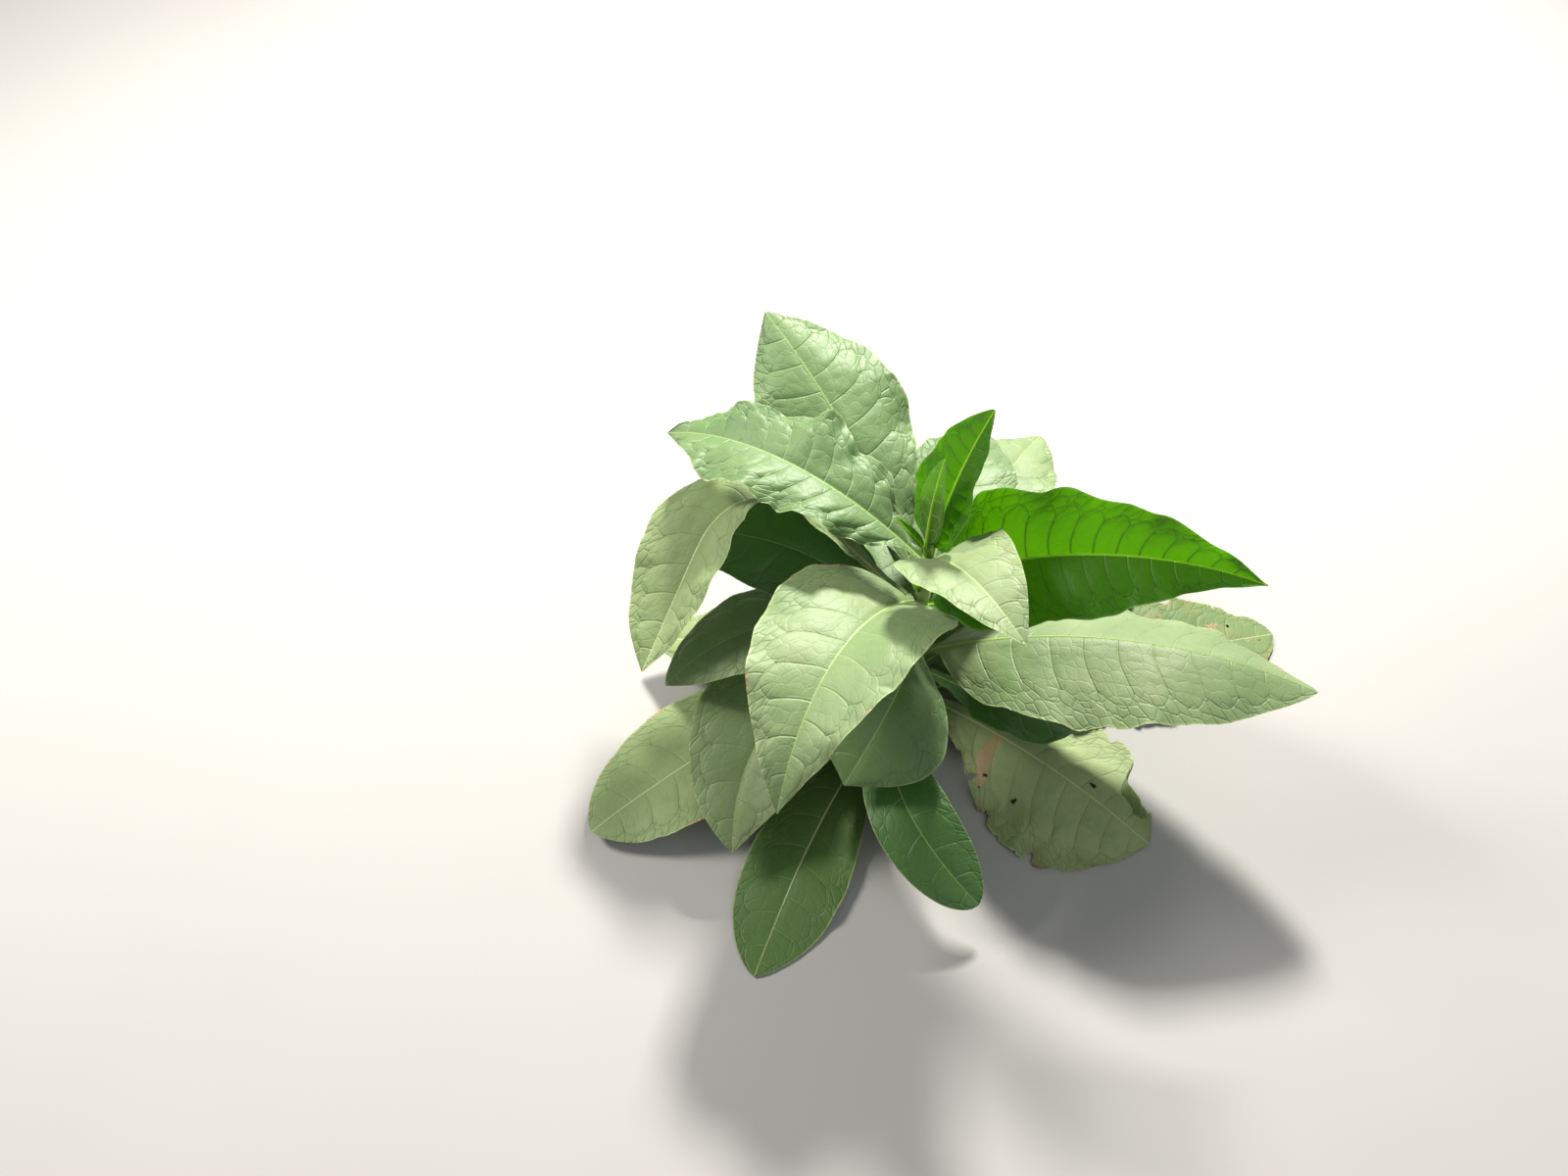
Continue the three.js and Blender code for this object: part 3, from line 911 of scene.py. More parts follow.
def make_blade_tree():
    """The tree that grows a blade from its midrib's path."""
    group, make, given, leave = new_geometry_tree("blade", BLADE_INPUTS)
    grid = lay_grid(make, given)
    share, side, _ = named(make, "share", "FLOAT_VECTOR").parts()
    row = share * (given["Rows"] - 1) + 0.5
    path = given["Geometry"]
    place, across, out = (from_path(make, path, label, row) for label in ("place", "across", "out"))
    half = from_path(make, path, "half", row, "FLOAT") * left_by_notches(make, given, share, side)
    along = share * given["Length"]
    plane = make.vector(along, side * half, given["Seed"])
    phase = vein_phase(make, along, side, half, given["Spacing"], plane)

    relief = blade_relief(make, given, share, side, half, phase, plane)
    sideways, upwards = cross_section(given, side)
    wave, crimp, wander = margin_waves(make, given, share, side, along)
    raised = place + across * (half * sideways * wander) + out * (half * upwards + wave + crimp + relief)
    turned, move = turned_margin(given, share, side, half, across, out)
    x, y, z = (raised + move).parts()
    formed = make.put(
        "GeometryNodeSetPosition", {},
        {"Geometry": grid, "Position": make.vector(x, y, settled(given, z))},
    )

    facts = {
        # The dust value, partly painted light, goes to the material. The turned strip loses it, which
        # paints the strip the deep green of light shining through.
        "phase": phase, "half_here": half, "age": given["Age"], "dust_and_light": given["Dust_and_light"] * (1 - turned),
        "spacing": given["Spacing"], "scar": given["Scar"],
    }
    for label, value in facts.items():
        formed = store(make, formed, label, value)
    formed = store(make, formed, "plane", plane, "FLOAT_VECTOR")
    formed = drop_holes(make, formed, given, share, plane)

    shell = close_shell(make, formed, given)
    shell = make.put("GeometryNodeSetShadeSmooth", {}, {0: shell, "Shade Smooth": True})
    shell = make.put("GeometryNodeRealizeInstances", {}, {0: shell})
    shell = make.put("GeometryNodeSetMaterial", {}, {"Geometry": shell, "Material": given["Upper"]})
    below = named(make, "underside", "BOOLEAN")
    shell = make.put(
        "GeometryNodeSetMaterial", {}, {"Geometry": shell, "Material": given["Under"], "Selection": below},
    )
    make.feed(leave.inputs[0], shell)
    return group


blade_tree = make_blade_tree()
print("blade tree nodes:", len(blade_tree.nodes))

# %% [markdown]
# A thin leaf shows the light behind it, so its finish mixes an ordinary surface with a
# translucent one. One plain green would look like plastic, so every kind of leaf has a fresh
# green, a dusty one and the colour of the light that passes, and its own gloss and veins.

# %% Leaf colours
@dataclass
class Finish:
    """Colours and strengths for one kind of leaf."""

    deep: tuple             # the fresh green
    # The pale green is also what lit leaves are painted towards, through their dust value, as painted
    # light.
    pale: tuple             # the green under dust
    glow: tuple             # the light that has passed through
    # The midrib colour. On young leaves it is painted brighter than a midrib is, as a painted glow of
    # light passing through.
    midrib: tuple
    through: float          # share of the light that passes through
    rough: float
    shine: float            # strength of the gloss on the upper side
    hair: float             # strength of the bloom of fine hairs there
    veins: float            # how pale the side veins look there
    # The dark over the dips is painted shade.
    crease_shade: float          # how dark the dips over them look there
    rib: float              # how strongly the midrib shows
    rib_wide: float         # width of the midrib, against the usual one
    rib_dims: float         # share of the passing light that the midrib holds back


FINISHES = {
    # A young leaf's midrib colour is a painted glow of the light passing through it.
    "young": Finish(
        deep=srgb(56, 104, 12), pale=srgb(118, 156, 66), glow=srgb(152, 204, 0),
        midrib=srgb(200, 244, 70), through=0.62, rough=0.46, shine=0.4, hair=0.1,
        veins=0.1, crease_shade=0.42, rib=1.0, rib_wide=1.8, rib_dims=0.0,
    ),
    "grown": Finish(
        deep=srgb(54, 108, 22), pale=srgb(146, 165, 114), glow=srgb(104, 172, 16),
        midrib=srgb(158, 190, 92), through=0.32, rough=0.46, shine=0.7, hair=0.4,
        veins=0.1, crease_shade=0.42, rib=0.3, rib_wide=1.1, rib_dims=0.7,
    ),
    "old": Finish(
        deep=srgb(78, 112, 44), pale=srgb(160, 178, 122), glow=srgb(128, 164, 36),
        midrib=srgb(206, 210, 160), through=0.24, rough=0.54, shine=0.6, hair=0.4,
        veins=0.16, crease_shade=0.6, rib=0.4, rib_wide=1.4, rib_dims=0.7,
    ),
}
VEIN_PALE = srgb(176, 194, 124)
# Painted shade, laid over the dips above the veins and along the net on the upper side.
CREASE_SHADE = srgb(34, 62, 14)
MARGIN_PALE = srgb(182, 196, 132)
OLIVE = srgb(132, 134, 78)
YELLOW = srgb(176, 164, 92)
DRY_BROWN = srgb(166, 138, 102)
DARK_BROWN = srgb(92, 62, 40)
TAN = srgb(196, 164, 120)
print("kinds of leaf:", list(FINISHES))

# %% [markdown]
# The blades carry what the material needs as attributes, so that a vein is painted where it
# is raised, on any leaf and in any place. The same class of veins as in the blade tree reads
# them here. Its distances become lines: a pair of numbers says where a line starts to fade
# and where it has gone.

# %% Lines of the veins
SPECK_SCALE = 260.0
PATCH_SCALE = 17.0
RIB_LINE_TIP = 0.0004
RIB_LINE_GROWTH = 0.0010
RIB_LINE = (0.7, 1.3)
SIDE_LINE = (0.0003, 0.0012)
SIDE_LINE_FADE = 0.4
ARCH_LINE = (0.0002, 0.0009)
ARCH_LINE_SHARE = 0.6
NET_LINE = (0.0001, 0.0009)
NET_LINE_AT_RIB = 0.2


def read(make, label, output="Fac"):
    """An attribute of the piece inside a material."""
    return make.put("ShaderNodeAttribute", {"attribute_name": label}, {}, output)


class LeafSpot:
    """What a material knows about a point of a blade."""

    def __init__(self, make):
        self.plane = read(make, "plane", "Vector")
        self.share, self.side, _ = read(make, "share", "Vector").parts()
        self.reach = abs(self.side)
        self.half, self.age, self.dust_and_light, self.scar = (
            read(make, label) for label in ("half_here", "age", "dust_and_light", "scar")
        )
        phase, spacing, seed = read(make, "phase"), read(make, "spacing"), self.plane.parts()[2]
        self.veins = Veins(make, self.reach, self.half, phase, spacing, seed)
        self.specks = make.noise(self.plane, SPECK_SCALE, 2.0, 0.7)
        self.patch = make.noise(self.plane, PATCH_SCALE, 4.0, 0.62)


def vein_lines(spot, finish):
    """1 on the midrib, on side veins and arches, and on small veins, and 0 between them."""
    veins, reach = spot.veins, spot.reach
    rib_half = (RIB_LINE_TIP + RIB_LINE_GROWTH * (1 - spot.share)) * finish.rib_wide
    rib = 1 - (reach * spot.half / rib_half).rises(*RIB_LINE)
    side_line = (1 - veins.to_side.rises(*SIDE_LINE)) * veins.inside * (1 - reach * SIDE_LINE_FADE)
    arch_line = (1 - veins.to_arch.rises(*ARCH_LINE)) * ARCH_LINE_SHARE
    net_share = NET_LINE_AT_RIB + (1 - NET_LINE_AT_RIB) * veins.outer
    return rib, side_line.at_least(arch_line), (1 - veins.to_net.rises(*NET_LINE)) * net_share


rib_line_width = 2 * (RIB_LINE_TIP + RIB_LINE_GROWTH) / MM
print("width of the midrib's line at the foot:", round(rib_line_width, 1), "mm")

# %% [markdown]
# Dust lies on a leaf in clouds and specks, and turns its green pale. How much dust a leaf gets
# also follows how lit it is, so the paleness is partly painted light. Over the veins the upper
# side shows a pale line in a dark crease, and its net of small veins is darkened too: that dark
# is painted shade. The underside is paler, and its net of small veins is pale too. The painted
# shade in the creases and the veins go brown with age.

# %% Green and dust
CLOUD_SCALE = 11.0
DUST_LEAST, DUST_IN_CLOUDS = 0.4, 1.1
SPECKLED = 0.14
UNDER_PALER = 0.25
# On the upper side the net's darkening is painted shade.
NET_SHADE_SHOWS, NET_SHOWS_UNDER = 0.26, 0.3
VEINS_SHOW_UNDER = 0.6
CREASES_BROWN, VEINS_BROWN, MOST_BROWN = 2.4, 1.4, 0.8
MOTTLE_SCALE = 24.0
MOTTLE_BLEND = (0.5, 0.72)
MOTTLE_SHARE = 0.3


def fresh_colour(make, spot, finish, underside, line, net_line):
    """Green paled by dusting and by painted light, painted shade in the dips over the veins, pale veins
    and an olive mottling.
    """
    clouds = make.noise(spot.plane, CLOUD_SCALE, 3.0, 0.6)
    # Painted light: each leaf's dust value, set by how lit the leaf is, pales its green.
    dust_and_light_share = spot.dust_and_light * (DUST_LEAST + DUST_IN_CLOUDS * clouds) + (spot.specks - 0.5) * SPECKLED
    dust_and_light_share = dust_and_light_share + (UNDER_PALER if underside else 0.0)
    colour = make.mix(dust_and_light_share.at_least(0.0).at_most(1.0), finish.deep, finish.pale)
    if underside:
        colour = make.mix(net_line * NET_SHOWS_UNDER, colour, VEIN_PALE)
    else:
        # Painted shade: the upper side is darkened along the net of small veins and in the dips over the
        # side veins.
        colour = make.mix(net_line * NET_SHADE_SHOWS, colour, CREASE_SHADE)
        crease_shade_colour = make.mix((spot.age * CREASES_BROWN).at_most(MOST_BROWN), CREASE_SHADE, DARK_BROWN)
        colour = make.mix(line * finish.crease_shade * spot.reach.root(), colour, crease_shade_colour)
    vein = make.mix((spot.age * VEINS_BROWN).at_most(MOST_BROWN), VEIN_PALE, DRY_BROWN)
    colour = make.mix(line * (VEINS_SHOW_UNDER if underside else finish.veins), colour, vein)
    mottle = make.noise(spot.plane, MOTTLE_SCALE, 4.0, 0.65)
    return make.mix(mottle.rises(*MOTTLE_BLEND) * spot.dust_and_light * MOTTLE_SHARE, colour, OLIVE)


print("share of pale veins on an underside:", VEINS_SHOW_UNDER)

# %% [markdown]
# Age turns a leaf olive and then yellow, first at the margin and in patches. Where a noise
# gets high the blade has died and is brown, and so is a burnt margin. One old leaf has a dry
# streak across one half, along a side vein.

# %% Age
WORN_BY_AGE, WORN_IN_PATCHES, WORN_AT_MARGIN, WORN_START = 0.9, 1.5, 0.6, 0.34
OLIVE_BLEND, OLIVE_SHARE = (0.0, 0.5), 0.7
YELLOW_BLEND, YELLOW_SHARE = (0.4, 0.8), 0.4
DRY_SCALE = 30.0
DRY_BY_AGE, DRY_AT_MARGIN = 0.58, 0.2
DRY_BLEND = (0.86, 0.93)
BURNT_UNEVEN = 0.05
BURNT_BLEND = (0.9, 0.965)
BURNT_PATCHES = (0.5, 0.6)
DRY_FROM_AGE = 0.12
BROWN_SPECKS = (0.35, 0.6)
STREAK_WIDTH = 0.024
STREAK_SLANT, STREAK_BENT = 0.03, 0.12
STREAK_FROM_RIB = -0.03
STREAK_ENDS = (0.75, 0.95)
STREAK_BROKEN = 0.8
STREAK_BLEND, STREAK_LIMIT, STREAK_SHARE = (0.3, 0.7), (0.0, 0.2), 0.85


def dead_patches(make, spot):
    """1 where the blade has died and gone dry."""
    dry = make.noise(spot.plane, DRY_SCALE, 5.0, 0.68) + spot.age * DRY_BY_AGE
    dry = dry + spot.reach ** 12 * spot.age * DRY_AT_MARGIN
    burnt = (spot.reach - BURNT_UNEVEN * spot.patch).rises(*BURNT_BLEND) * spot.patch.rises(*BURNT_PATCHES)
    return dry.rises(*DRY_BLEND).at_least(burnt) * (spot.age > DRY_FROM_AGE)


def dry_streak(spot):
    """1 on the streak, broken up by specks."""
    along = spot.share - spot.scar - STREAK_SLANT * spot.reach + (spot.patch - 0.5) * STREAK_BENT
    streak = along.near_zero(STREAK_WIDTH) * (spot.scar > ABOVE_ZERO)
    streak = streak * (spot.side < STREAK_FROM_RIB) * (1 - spot.reach.rises(*STREAK_ENDS))
    broken = streak + (spot.specks - 0.5) * STREAK_BROKEN
    return broken.rises(*STREAK_BLEND) * streak.rises(*STREAK_LIMIT)


def aged_colour(make, spot, colour, dead):
    """The colour after age, dry patches and the streak."""
    worn = spot.age * WORN_BY_AGE + (spot.patch - 0.5) * WORN_IN_PATCHES
    worn = worn + spot.reach ** 6 * spot.age * WORN_AT_MARGIN - WORN_START
    worn = worn * (spot.age > ABOVE_ZERO)
    colour = make.mix(worn.rises(*OLIVE_BLEND) * OLIVE_SHARE, colour, OLIVE)
    colour = make.mix(worn.rises(*YELLOW_BLEND) * YELLOW_SHARE, colour, YELLOW)
    brown = make.mix(spot.specks.rises(*BROWN_SPECKS), DARK_BROWN, DRY_BROWN)
    colour = make.mix(dead, colour, brown)
    return make.mix(dry_streak(spot) * STREAK_SHARE, colour, TAN)


print("leaves old enough for dry patches:", sum(leaf.age > DRY_FROM_AGE for leaf in LEAVES.values()))

# %% [markdown]
# What is too fine for the mesh is a bump: a sharp groove along each vein, small cells between
# them and fine hairs. On the underside the same veins stand out, so their heights change sign.

# %% Fine relief
SIDE_GROOVE, SIDE_GROOVE_WIDTH = 0.0007, 0.0011
ARCH_GROOVE, ARCH_GROOVE_WIDTH = 0.0005, 0.0010
NET_GROOVE, NET_GROOVE_GROWTH, NET_GROOVE_WIDTH = 0.00018, 0.0004, 0.0009
CELL_SCALE, CELL_BLEND, CELL_HEIGHT = 220.0, (0.0, 0.3), 0.00009
FUZZ_SCALE, FUZZ_HEIGHT = 1100.0, 0.00007
BUMP_STRENGTH = 0.9


def leaf_bump(make, spot, underside):
    """Grooves at the veins, small cells and fine hairs, as heights in metres."""
    veins = spot.veins
    grooves = veins.to_side.near_zero(SIDE_GROOVE_WIDTH) * veins.inside * SIDE_GROOVE
    grooves = grooves + veins.to_arch.near_zero(ARCH_GROOVE_WIDTH) * ARCH_GROOVE
    net_groove = NET_GROOVE + NET_GROOVE_GROWTH * veins.outer
    grooves = grooves + veins.to_net.near_zero(NET_GROOVE_WIDTH) * net_groove
    small = make.cells(veins.place, CELL_SCALE).rises(*CELL_BLEND) * CELL_HEIGHT
    fuzz = make.noise(spot.plane, FUZZ_SCALE, 2.0) * FUZZ_HEIGHT
    height = (small - grooves) * (-1.0 if underside else 1.0) + fuzz
    return make.put(
        "ShaderNodeBump", {}, {"Strength": BUMP_STRENGTH, "Distance": 1.0, "Height": height},
    )


print("bump strength:", BUMP_STRENGTH)

# %% [markdown]
# The finish of each side puts these together. Veins and dead patches let less light through,
# so the share of the translucent shader is lower there. Only colour, roughness, bump and that
# share change over the surface. The rest is set on the shader's own sockets.

# %% Leaf finish
MARGIN_LINE, MARGIN_SHARE = (0.965, 0.99), 0.55
RIB_BY_DUST = 0.3
ROUGH_BY_DUST, ROUGH_BY_SPECKS, ROUGH_BY_DRYNESS, ROUGHER_UNDER = 0.06, 0.1, 0.2, 0.12
UNDER_SHINE, UNDER_HAIR = 0.45, 0.1
HAIR_ROUGHNESS, HAIR_TINT = 0.45, srgb(222, 232, 208)
VEINS_DIM, DRYNESS_DIMS, NET_DIMS = 0.6, 0.85, 0.2


def leaf_finish(kind, underside):
    """The material of one side of the leaves of one kind."""
    finish = FINISHES[kind]
    material, make, output = new_shader(f"{kind} leaf {'under' if underside else 'upper'} side")
    spot = LeafSpot(make)
    rib, line, net_line = vein_lines(spot, finish)
    dead = dead_patches(make, spot)
    colour = fresh_colour(make, spot, finish, underside, line, net_line)
    colour = aged_colour(make, spot, colour, dead)
    colour = make.mix(spot.reach.rises(*MARGIN_LINE) * MARGIN_SHARE * (1 - dead), colour, MARGIN_PALE)
    rib_shows = (rib * (finish.rib + RIB_BY_DUST * spot.dust_and_light)).at_most(1.0)
    # On young leaves this midrib colour is a painted glow.
    colour = make.mix(rib_shows, colour, finish.midrib)
    rough = finish.rough + spot.dust_and_light * ROUGH_BY_DUST + spot.specks * ROUGH_BY_SPECKS
    rough = rough + dead * ROUGH_BY_DRYNESS + (ROUGHER_UNDER if underside else 0.0)
    bump = leaf_bump(make, spot, underside)
    surface = make.put("ShaderNodeBsdfPrincipled", {}, {
        "Base Color": colour, "Roughness": rough, "Normal": bump,
        "Specular IOR Level": UNDER_SHINE if underside else finish.shine,
        "Sheen Weight": UNDER_HAIR if underside else finish.hair,
        "Sheen Roughness": HAIR_ROUGHNESS, "Sheen Tint": HAIR_TINT,
    })
    glow = make.put("ShaderNodeBsdfTranslucent", {}, {"Color": finish.glow, "Normal": bump})
    passing = finish.through * (1 - finish.rib_dims * rib) * (1 - VEINS_DIM * line)
    passing = passing * (1 - DRYNESS_DIMS * dead) * (1 - NET_DIMS * net_line)
    both = make.put("ShaderNodeMixShader", {}, {0: passing, 1: surface, 2: glow})
    make.feed(output.inputs["Surface"], both)
    return material


leaf_paint = {
    (kind, underside): leaf_finish(kind, underside) for kind in FINISHES for underside in (False, True)
}
print("leaf finishes:", len(leaf_paint))

# %% [markdown]
# Each blade is grown from its own midrib path. Long leaves get a finer grid than short ones,
# so that a vein's dip is always a few faces wide.

# %% Blades
BLADE_THICKNESS = 0.0008
SEED = 20
SEED_STEP = 3
ROW_STEP, FEWEST_ROWS, MOST_ROWS = 2.9, 41, 151
COLUMN_STEP, FEWEST_COLUMNS, MOST_COLUMNS = 2.7, 21, 77
FEWEST_SIDE_VEINS = 6
CHANNEL_DEPTH = 2.2
CHANNEL_OPEN = 1.5
CHANNEL_SHUT_BY = 26


def channel_depth(leaf):
    """Depth in millimetres of the groove over the midrib, less on a leaf that is folded sharply."""
    return CHANNEL_DEPTH * min(max(CHANNEL_OPEN - leaf.fold / CHANNEL_SHUT_BY, 0), 1)


def points_along(size, step, fewest, most):
    """How many points of a grid lie along a size: an odd number, so that one is in the middle."""
    return max(fewest, min(most, int(size / step) | 1))


def grow_blade(number, name, leaf):
    """The finished piece of one blade."""
    rows = points_along(leaf.length, ROW_STEP, FEWEST_ROWS, MOST_ROWS)
    columns = points_along(leaf.width, COLUMN_STEP, FEWEST_COLUMNS, MOST_COLUMNS)
    path = midrib_path(leaf, rows - 1)
    places, across, out, half = (list(values) for values in zip(*path))
    start = path_mesh(name, places, {"across": across, "out": out, "half": [w * MM for w in half]})
    mesh = grown(name, start, blade_tree, {
        "Rows": rows, "Columns": columns, "Length": leaf.length * MM,
        "Fold": math.radians(leaf.fold), "Curl": math.radians(leaf.curl),
        "Ruffle": leaf.ruffle * MM, "Waves": float(leaf.waves),
        "Spacing": min(leaf.spacing, leaf.length / FEWEST_SIDE_VEINS) * MM, "Pucker": float(leaf.pucker),
        "Torn": float(leaf.torn), "Holes": float(leaf.holes), "Thickness": BLADE_THICKNESS,
        "Lowest": lowest_of(leaf) * MM, "Seed": float(SEED + SEED_STEP * number),
        "Age": float(leaf.age), "Dust_and_light": float(leaf.dust_and_light), "Scar": float(leaf.scar),
        "Turned": float(leaf.turned), "Channel": channel_depth(leaf) * MM,
        "Upper": leaf_paint[leaf.kind, False], "Under": leaf_paint[leaf.kind, True],
    })
    return piece("blade_" + name, mesh, leaf.kind + "_leaf", name)


blades = [grow_blade(number, name, leaf) for number, (name, leaf) in enumerate(LEAVES.items())]
print("blades:", len(blades), "faces:", sum(len(blade.data.polygons) for blade in blades))

# %% [markdown]
# Under each blade its midrib stands out as a thick round rib, thickest at the stem. A curve
# along the path is swept with a circle, scaled to the radius stored at each point.

# %% Rib tree
RIB_SIDES = 12


def make_rib_tree():
    """The tree that sweeps a circle along a path."""
    group, make, given, leave = new_geometry_tree("rib", {"Paint": "Material"})
    curve = make.put("GeometryNodeMeshToCurve", {}, {0: given["Geometry"]})
    ring = make.put("GeometryNodeCurvePrimitiveCircle", {}, {"Resolution": RIB_SIDES, "Radius": 1.0})
    tube = make.put("GeometryNodeCurveToMesh", {}, {
        "Curve": curve, "Profile Curve": ring, "Scale": named(make, "thick"), "Fill Caps": True,
    })
    tube = make.put("GeometryNodeSetShadeSmooth", {}, {0: tube, "Shade Smooth": True})
    tube = make.put("GeometryNodeRealizeInstances", {}, {0: tube})
    tube = make.put("GeometryNodeSetMaterial", {}, {"Geometry": tube, "Material": given["Paint"]})
    make.feed(leave.inputs[0], tube)
    return group


rib_tree = make_rib_tree()
print("rib tree nodes:", len(rib_tree.nodes))

# %% [markdown]
# A midrib is pale, sappy and half clear, like a stalk of celery. So a leaf that is lit from
# behind has a bright line along its middle, and not a dark one. On young leaves the midrib's
# colour is also painted brighter than it is, as a painted glow of the light passing through.

# %% Rib finish
RIB_STREAK_SCALE = 160.0
RIB_BUMP = 0.0004
RIB_ROUGH, RIB_ROUGH_STREAKS = 0.5, 0.15
RIB_GLOW, RIB_GLOW_SHARE = srgb(214, 236, 96), 0.35


def rib_finish(kind):
    """Pale green with fine streaks, mixed with a translucent share."""
    material, make, output = new_shader(kind + " midrib")
    streaks = make.noise(make.on_object(), RIB_STREAK_SCALE, 3.0)
    # On young leaves the midrib colour is a painted glow of light passing through.
    colour = make.mix(streaks * 0.5, FINISHES[kind].midrib, FINISHES[kind].pale)
    bump = make.put("ShaderNodeBump", {}, {"Strength": 0.3, "Distance": RIB_BUMP, "Height": streaks})
    surface = make.put("ShaderNodeBsdfPrincipled", {}, {
        "Base Color": colour, "Roughness": RIB_ROUGH + streaks * RIB_ROUGH_STREAKS, "Normal": bump,
        "Sheen Weight": 0.15,
    })
    glow = make.put("ShaderNodeBsdfTranslucent", {}, {"Color": RIB_GLOW})
    both = make.put("ShaderNodeMixShader", {}, {0: RIB_GLOW_SHARE, 1: surface, 2: glow})
    make.feed(output.inputs["Surface"], both)
    return material


rib_paint = {kind: rib_finish(kind) for kind in FINISHES}
print("rib finishes:", len(rib_paint))

# %% [markdown]
# Each rib follows its leaf's path a little below the blade, deeper where the blade has a
# channel over it, and settles on the ground as the blade does. All the ribs become one mesh.

# %% Midribs
RIB_STEP, FEWEST_RIB_STEPS = 5, 24
RIB_SINK = 0.86
RIB_TIP_RADIUS = 0.35
RIB_FOOT_LEAST = 0.7
RIB_FOOT_SHARE = 0.0062
RIB_TAPER_POWER = 1.3
RIB_CLEARANCE = 0.1


def rib_radius(leaf, share):
    """Radius of a midrib in millimetres."""
    at_foot = RIB_FOOT_LEAST + RIB_FOOT_SHARE * leaf.length
    return RIB_TIP_RADIUS + at_foot * (1 - share) ** RIB_TAPER_POWER


def settled_rib(leaf, height):
    """The height at which a midrib comes to rest, in millimetres."""
    lowest = lowest_of(leaf)
    over = min((height - lowest) / SETTLE_SOFTNESS, SETTLE_DONE)
    return max(height, lowest + SETTLE_SOFTNESS * math.log1p(math.exp(over)))


def grow_rib(name, leaf):
    """The mesh of one midrib. It stops a step before the tip of the blade."""
    steps = max(FEWEST_RIB_STEPS, int(leaf.length / RIB_STEP))
    points, thick = [], []
    for step, (place, _, out, _) in enumerate(midrib_path(leaf, steps)[:-1]):
        share = step / steps
        radius = rib_radius(leaf, share)
        place.z = settled_rib(leaf, place.z)
        sunk = place - out * (RIB_SINK * radius + channel_depth(leaf) * (1 - share * CHANNEL_FADE))
        sunk.z = max(sunk.z, radius + RIB_CLEARANCE)
        points.append(sunk)
        thick.append(radius * MM)
    start = path_mesh(name + " rib", points, {"thick": thick})
    return grown(name + " rib", start, rib_tree, {"Paint": rib_paint[leaf.kind]})


def joined(name, meshes):
    """One mesh from several."""
    holders = [bpy.data.objects.new(mesh.name, mesh) for mesh in meshes]
    for holder in holders:
        bpy.context.scene.collection.objects.link(holder)
    with bpy.context.temp_override(active_object=holders[0], selected_editable_objects=holders):
        bpy.ops.object.join()
    mesh = holders[0].data
    bpy.data.objects.remove(holders[0])
    mesh.name = name
    return mesh


ribs = piece("midribs", joined("midribs", [grow_rib(*item) for item in LEAVES.items()]), "young_leaf")
print("ribs joined, faces:", len(ribs.data.polygons))

# %% [markdown]
# The stem is a soft green stalk with low ridges. It swells under each leaf, where the leaf's
# foot runs down it. A plain cylinder would show no joint with its leaves, so the skin is a
# tube of many rings, whose radius is worked out for each height and direction.

# %% Stem skin
STEM_RINGS = 190
STEM_SIDES = 48
RING_CROWDING = 1.15
NODE_SWELL = 1.5
NODE_BELOW = 3
NODE_REACH = 7.0
SWELL_ENDS = 3
LARGE_LEAF = 100
RIDGES = 5
RIDGE_HEIGHT = 0.35
RIDGE_TWIST = 0.02
RIDGES_FROM = 30
LUMP_HEIGHT = 0.2
LUMP_TURN, LUMP_SPREAD = 0.31, 0.113
TIP_ROUNDING = 0.5


def stem_radius(height, angle):
    """Radius of the stem's skin in millimetres."""
    _, radius = stem_at(height)
    radius += RIDGE_HEIGHT * math.sin(RIDGES * angle + height * RIDGE_TWIST) * min(1, height / RIDGES_FROM)
    radius += LUMP_HEIGHT * math.sin(height * LUMP_TURN + 2 * angle) * math.sin(height * LUMP_SPREAD)
    for leaf in LEAVES.values():
        away = (leaf.height - NODE_BELOW - height) / NODE_REACH
        if abs(away) < SWELL_ENDS and leaf.length > LARGE_LEAF:
            facing = 0.5 + 0.5 * math.cos(angle - math.radians(leaf.azimuth))
            radius += NODE_SWELL * facing ** 2 * math.exp(-away * away)
    return radius


def stem_points():
    """The points of all the rings, and of the rounded tip."""
    points = []
    for ring in range(STEM_RINGS + 1):
        height = STEM_HEIGHT * (ring / STEM_RINGS) ** RING_CROWDING
        middle, _ = stem_at(height)
        for side in range(STEM_SIDES):
            angle = math.tau * side / STEM_SIDES
            reach = stem_radius(height, angle)
            points.append((middle + Vector((math.cos(angle), math.sin(angle), 0)) * reach) * MM)
    points.append((stem_at(STEM_HEIGHT)[0] + Vector((0, 0, TIP_ROUNDING * STEM_TIP_RADIUS))) * MM)
    return points


def stem_faces():
    """The faces between the rings, the cut at the foot and the fan at the tip."""
    faces = []
    for ring in range(STEM_RINGS):
        for side in range(STEM_SIDES):
            a, b = ring * STEM_SIDES + side, ring * STEM_SIDES + (side + 1) % STEM_SIDES
            faces.append((a, b, b + STEM_SIDES, a + STEM_SIDES))
    faces.append(tuple(reversed(range(STEM_SIDES))))
    last = STEM_RINGS * STEM_SIDES
    tip = last + STEM_SIDES
    faces += [(last + side, last + (side + 1) % STEM_SIDES, tip) for side in range(STEM_SIDES)]
    return faces


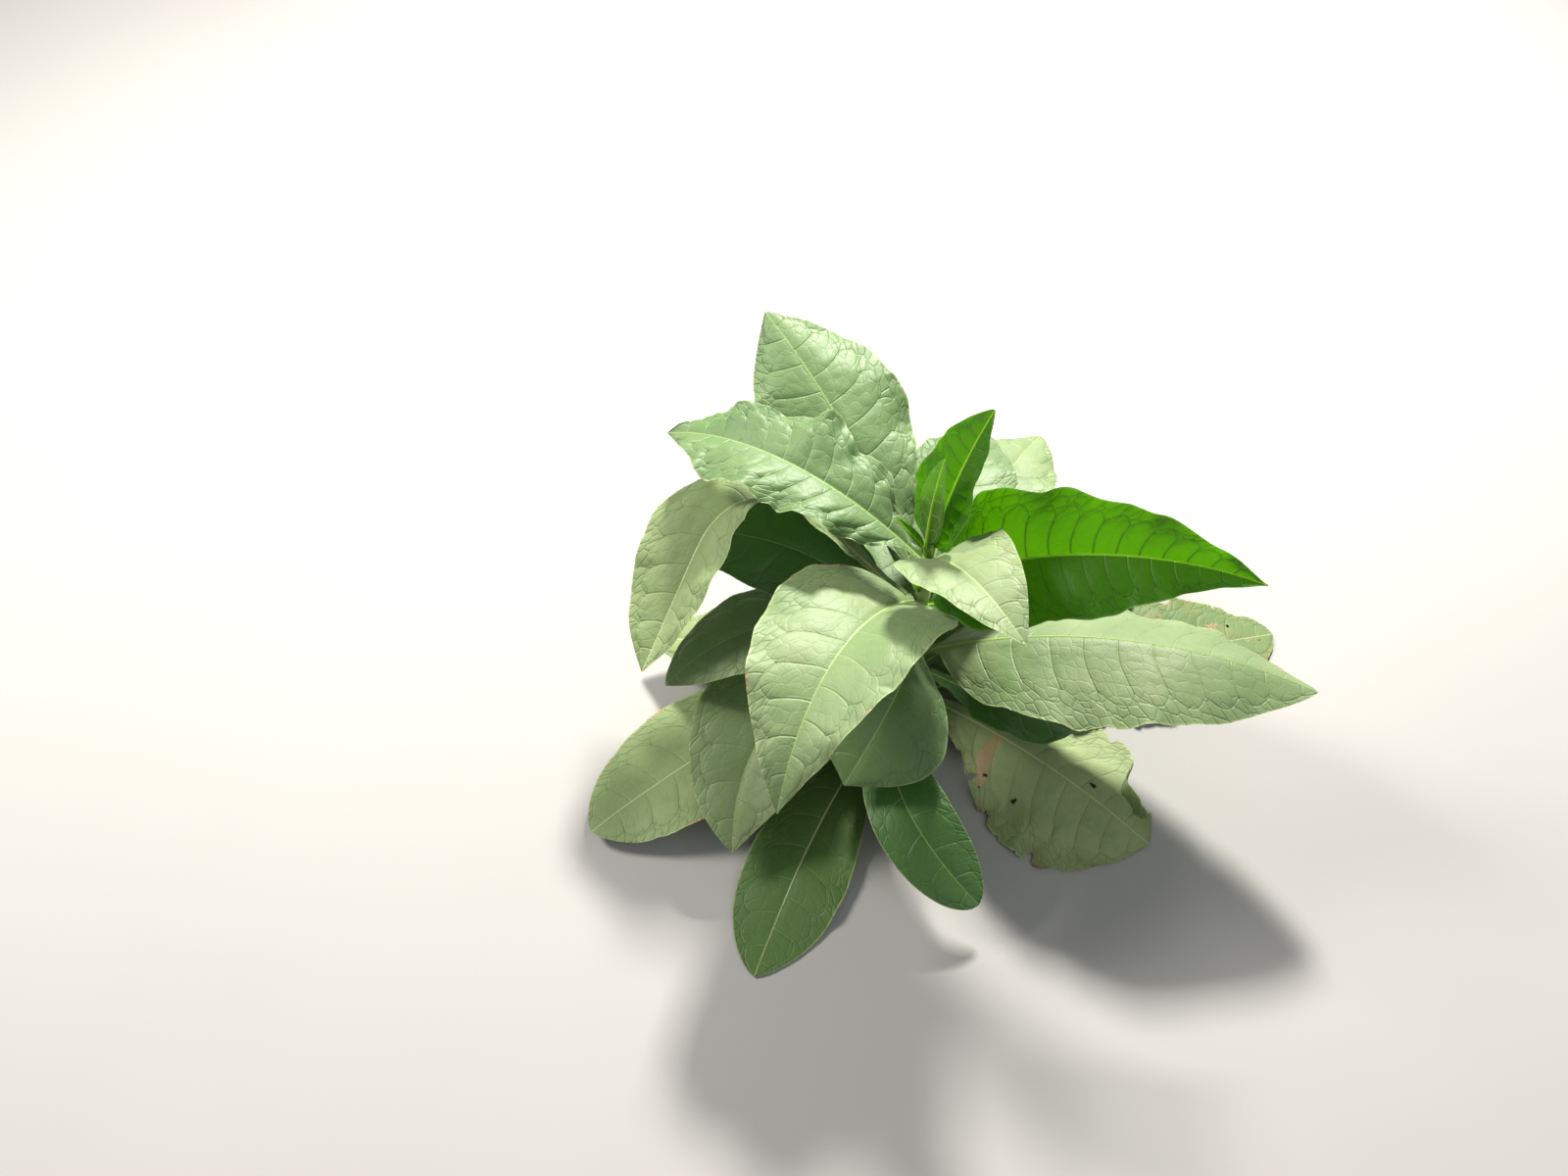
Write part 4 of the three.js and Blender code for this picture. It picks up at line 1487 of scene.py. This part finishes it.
skin = bpy.data.meshes.new("stem skin")
skin.from_pydata(stem_points(), [], stem_faces())
skin.shade_smooth()
print("stem faces:", len(skin.polygons))

# %% [markdown]
# The stem's green is streaked lengthwise, which a noise that is squeezed sideways gives. Near
# the ground it goes brown and rough.

# %% Stem finish
STEM_STREAKS_ACROSS, STEM_STREAKS_ALONG = 260.0, 24.0
BLOTCH_SCALE, BLOTCH_REACH = 60.0, 0.03
BROWN_TO = (0.02, 0.1)
BROWN_SHARE = 0.8
STEM_GREENS = srgb(118, 150, 74), srgb(178, 196, 124)
STEM_BROWNS = srgb(112, 96, 66), srgb(160, 150, 104)
STEM_GRAIN_SCALE, STEM_GRAIN_SHARE = 900.0, 0.4
STEM_BUMP = 0.0008
STEM_ROUGH, ROUGHER_BELOW = 0.55, 0.25


def stem_finish():
    """Light green with pale streaks, browner and rougher towards the ground."""
    material, make, output = new_shader("stem skin")
    here = make.on_object()
    x, y, z = here.parts()
    squeezed = make.vector(x * STEM_STREAKS_ACROSS, y * STEM_STREAKS_ACROSS, z * STEM_STREAKS_ALONG)
    streaks = make.noise(squeezed, 1.0, 4.0, 0.6)
    blotch = make.noise(here, BLOTCH_SCALE, 3.0)
    low = 1 - (z + blotch * BLOTCH_REACH).rises(*BROWN_TO)
    green, brown = make.mix(streaks, *STEM_GREENS), make.mix(streaks, *STEM_BROWNS)
    height = streaks + make.noise(here, STEM_GRAIN_SCALE, 2.0) * STEM_GRAIN_SHARE
    bump = make.put("ShaderNodeBump", {}, {"Strength": 0.6, "Distance": STEM_BUMP, "Height": height})
    surface = make.put("ShaderNodeBsdfPrincipled", {}, {
        "Base Color": make.mix(low * BROWN_SHARE, green, brown),
        "Roughness": STEM_ROUGH + low * ROUGHER_BELOW, "Normal": bump,
        "Sheen Weight": 0.25, "Sheen Roughness": 0.5,
    })
    make.feed(output.inputs["Surface"], surface)
    return material


skin.materials.append(stem_finish())
piece("stem_skin", skin, "stem", "stem")
print("stem finish:", skin.materials[0].name)
